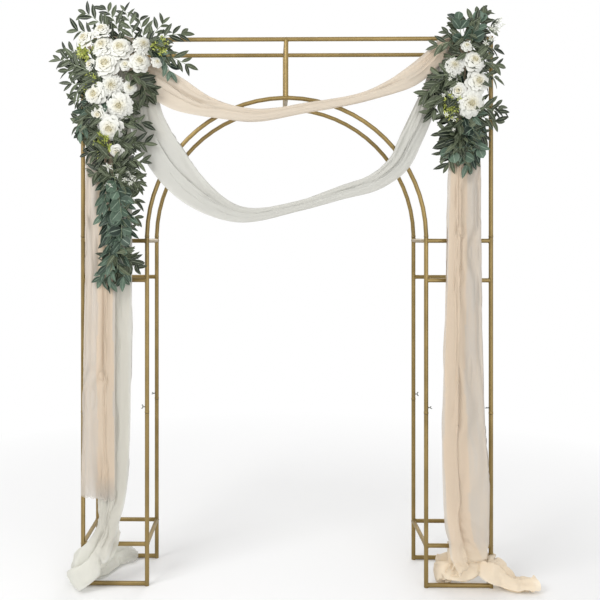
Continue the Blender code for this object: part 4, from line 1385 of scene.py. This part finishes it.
def plant_leaves(dark, stalk):
    """The leafy sprays, the hanging strands and the sprigs of both arrangements."""
    spray = spray_tree()
    silver = leaf_finish("silver_leaf", (0.004, 0.014, 0.009), (0.110, 0.170, 0.120), (0.32, 0.40, 0.31))
    lime = leaf_finish("lime_sprig", (0.30, 0.36, 0.05), (0.62, 0.66, 0.20), (0.70, 0.74, 0.30), 0.3)
    snow = leaf_finish("snow_sprig", (0.62, 0.64, 0.56), (0.84, 0.85, 0.78), (0.9, 0.9, 0.86), 0.3)
    pointed = {
        "Leaf": leaf_object("pointed_leaf", POINTED_LEAF, 0.40, 0.12), "Spacing": 0.017, "Size": 0.070,
        "Spread": 0.72, "Taper": 0.12, "Bare": 0.10, "Unruly": 0.40, "Opposite": False, "Stem Radius": 0.0013,
        "Leaf Material": dark, "Stem Material": stalk,
    }
    for name, tips, spine, inner, node in (
        ("left_sprays", LEFT_TIPS, LEFT_SPINE, 64, "left_leaves"),
        ("trail_sprays", TRAIL_TIPS, TRAIL_SPINE, 6, "left_trail"),
        ("right_sprays", RIGHT_TIPS, RIGHT_SPINE, 38, "right_leaves"),
    ):
        guide = line_guide(name, stems_to(tips, spine, len(tips), inner))
        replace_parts(new_piece(name, grow(guide, spray, pointed)), node)
    long = {
        **pointed, "Leaf": leaf_object("long_leaf", LONG_LEAF, 0.30, 0.16), "Spacing": 0.028, "Spread": 0.55,
        "Opposite": True, "Unruly": 0.85, "Leaf Material": silver,
    }
    broad = {**long, "Spacing": 0.026, "Size": 0.078, "Spread": 0.65, "Leaf Material": dark}
    rounded = {
        **long, "Leaf": leaf_object("round_leaf", ROUND_LEAF, 0.20, 0.12), "Spacing": 0.038, "Size": 0.058,
        "Spread": 0.95,
    }
    green = {
        **pointed, "Leaf": leaf_object("chip", LEAF_CHIP, 0.40, 0.10, rows=4, half=1), "Spacing": 0.006,
        "Size": 0.016, "Spread": 0.9, "Unruly": 1.2, "Opposite": True, "Stem Radius": 0.0006,
        "Leaf Material": lime,
    }
    white = {**green, "Spacing": 0.009, "Size": 0.014, "Leaf Material": snow, "Stem Material": snow}
    for name, stems, values in (
        ("long_leaf_strands", strand_stems(LONG_STRANDS, 0.010), long),
        ("broad_leaf_strands", strand_stems(BROAD_STRANDS, 0.016), broad),
        ("round_leaf_strands", strand_stems(ROUND_STRANDS, 0.024), rounded),
        ("green_sprigs", sprig_stems(GREEN_SPRIGS, 0.034, 11, 3.1, 5), green),
        ("white_sprigs", sprig_stems(WHITE_SPRIGS, 0.055, 3, 0.5, 9), white),
    ):
        new_piece(name, grow(line_guide(name, stems), spray, values))


def plant_flowers(place, draw):
    """Both arrangements: leaves, flower heads with their cups and stalks, and the taped spines."""
    dark = leaf_finish("dark_leaf", (0.006, 0.012, 0.006), (0.098, 0.120, 0.068), (0.36, 0.40, 0.28))
    stalk = plain_finish("stalk", (0.34, 0.40, 0.25), 0.6, 500.0, 0.0002)
    tape = plain_finish("floral_tape", (0.045, 0.075, 0.040), 0.7, 350.0, 0.0004)
    petal = petal_finish("ivory_petal", (0.86, 0.86, 0.81), (0.80, 0.75, 0.56))
    plant_leaves(dark, stalk)
    calyx = turned_part("calyx", CALYX_OUTLINE, 10)
    for word, side, centre, spines, nodes in (
        ("left", -1, (-0.72, 2.22), (LEFT_SPINE, TRAIL_SPINE), ("left_upper_blooms", "left_lower_blooms")),
        ("right", 1, (0.76, 2.20), (RIGHT_SPINE,), ("right_blooms",)),
    ):
        own = [head for head in HEADS if head[0] * side > 0]
        for form in PETAL_RINGS:
            chosen = [head for head in own if head[3] == form]
            if not chosen:
                continue
            rows = head_rows(chosen, centre)
            name = f"{word}_{form}_heads"
            piece = placed_piece(name, place, rows, flower_head(form, 3), 3.14, petal)
            if form == "rose":
                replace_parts(piece, *nodes)
        placed_piece(f"{word}_calyxes", place, head_rows(own, centre), calyx, 3.14, dark)
        stems = bloom_stems(own, sum(spines, ()))
        drawn_piece(f"{word}_bloom_stalks", draw, stems, 0.0017, 6, stalk)
        routes = [[(x, LEAF_Y, z) for x, z in smooth_route(spine, 5 * len(spine))] for spine in spines]
        lines = [(route, [1.0] * len(route)) for route in routes]
        drawn_piece(f"{word}_spine", draw, lines, 0.0042, 8, tape)


def wire_loop(held, held_radius, x):
    """A closed loop round the top rail and round what it holds, in the plane across the rail at x."""
    rail = Vector((-PLANE_Y, TOP_RAIL_Z))
    rail_radius = TUBE_RADIUS + WIRE_GAP
    between = Vector(held) - rail
    points = []
    for step in range(WIRE_STEPS):
        turn = 2 * math.pi * step / WIRE_STEPS
        way = Vector((math.cos(turn), math.sin(turn)))
        if way.dot(between) + held_radius > rail_radius:
            spot = Vector(held) + way * held_radius
        else:
            spot = rail + way * rail_radius
        points.append((x, spot.x, spot.y))
    return points, [1.0] * len(points)


def tie_to_frame(draw):
    """Wire loops that hold the flowers' spines, and bands that hold the gathered cloth, to the top rail."""
    wire = plain_finish("green_wire", (0.05, 0.09, 0.05), 0.45, 400.0, 0.0001)
    band = plain_finish("white_band", (0.78, 0.78, 0.75), 0.45, 400.0, 0.0001)
    wires = [wire_loop((LEAF_Y, height), 0.0062, x) for x, height in WIRE_PLACES]
    drawn_piece("tie_wires", draw, wires, 0.0009, 6, wire, closed=True)
    bands = [wire_loop((y, z), radius, x) for x, y, z, radius in BAND_PLACES]
    drawn_piece("drape_bands", draw, bands, 0.0024, 8, band, flat=0.35, closed=True)


bpy.context.scene.view_settings.view_transform = "Standard"
build_stage()
build_camera()
dress_frame()
placed_parts = placing_tree()
drawn_tubes = tube_tree()
fit_hardware(placed_parts, drawn_tubes)
hang_panels()
plant_flowers(placed_parts, drawn_tubes)
tie_to_frame(drawn_tubes)
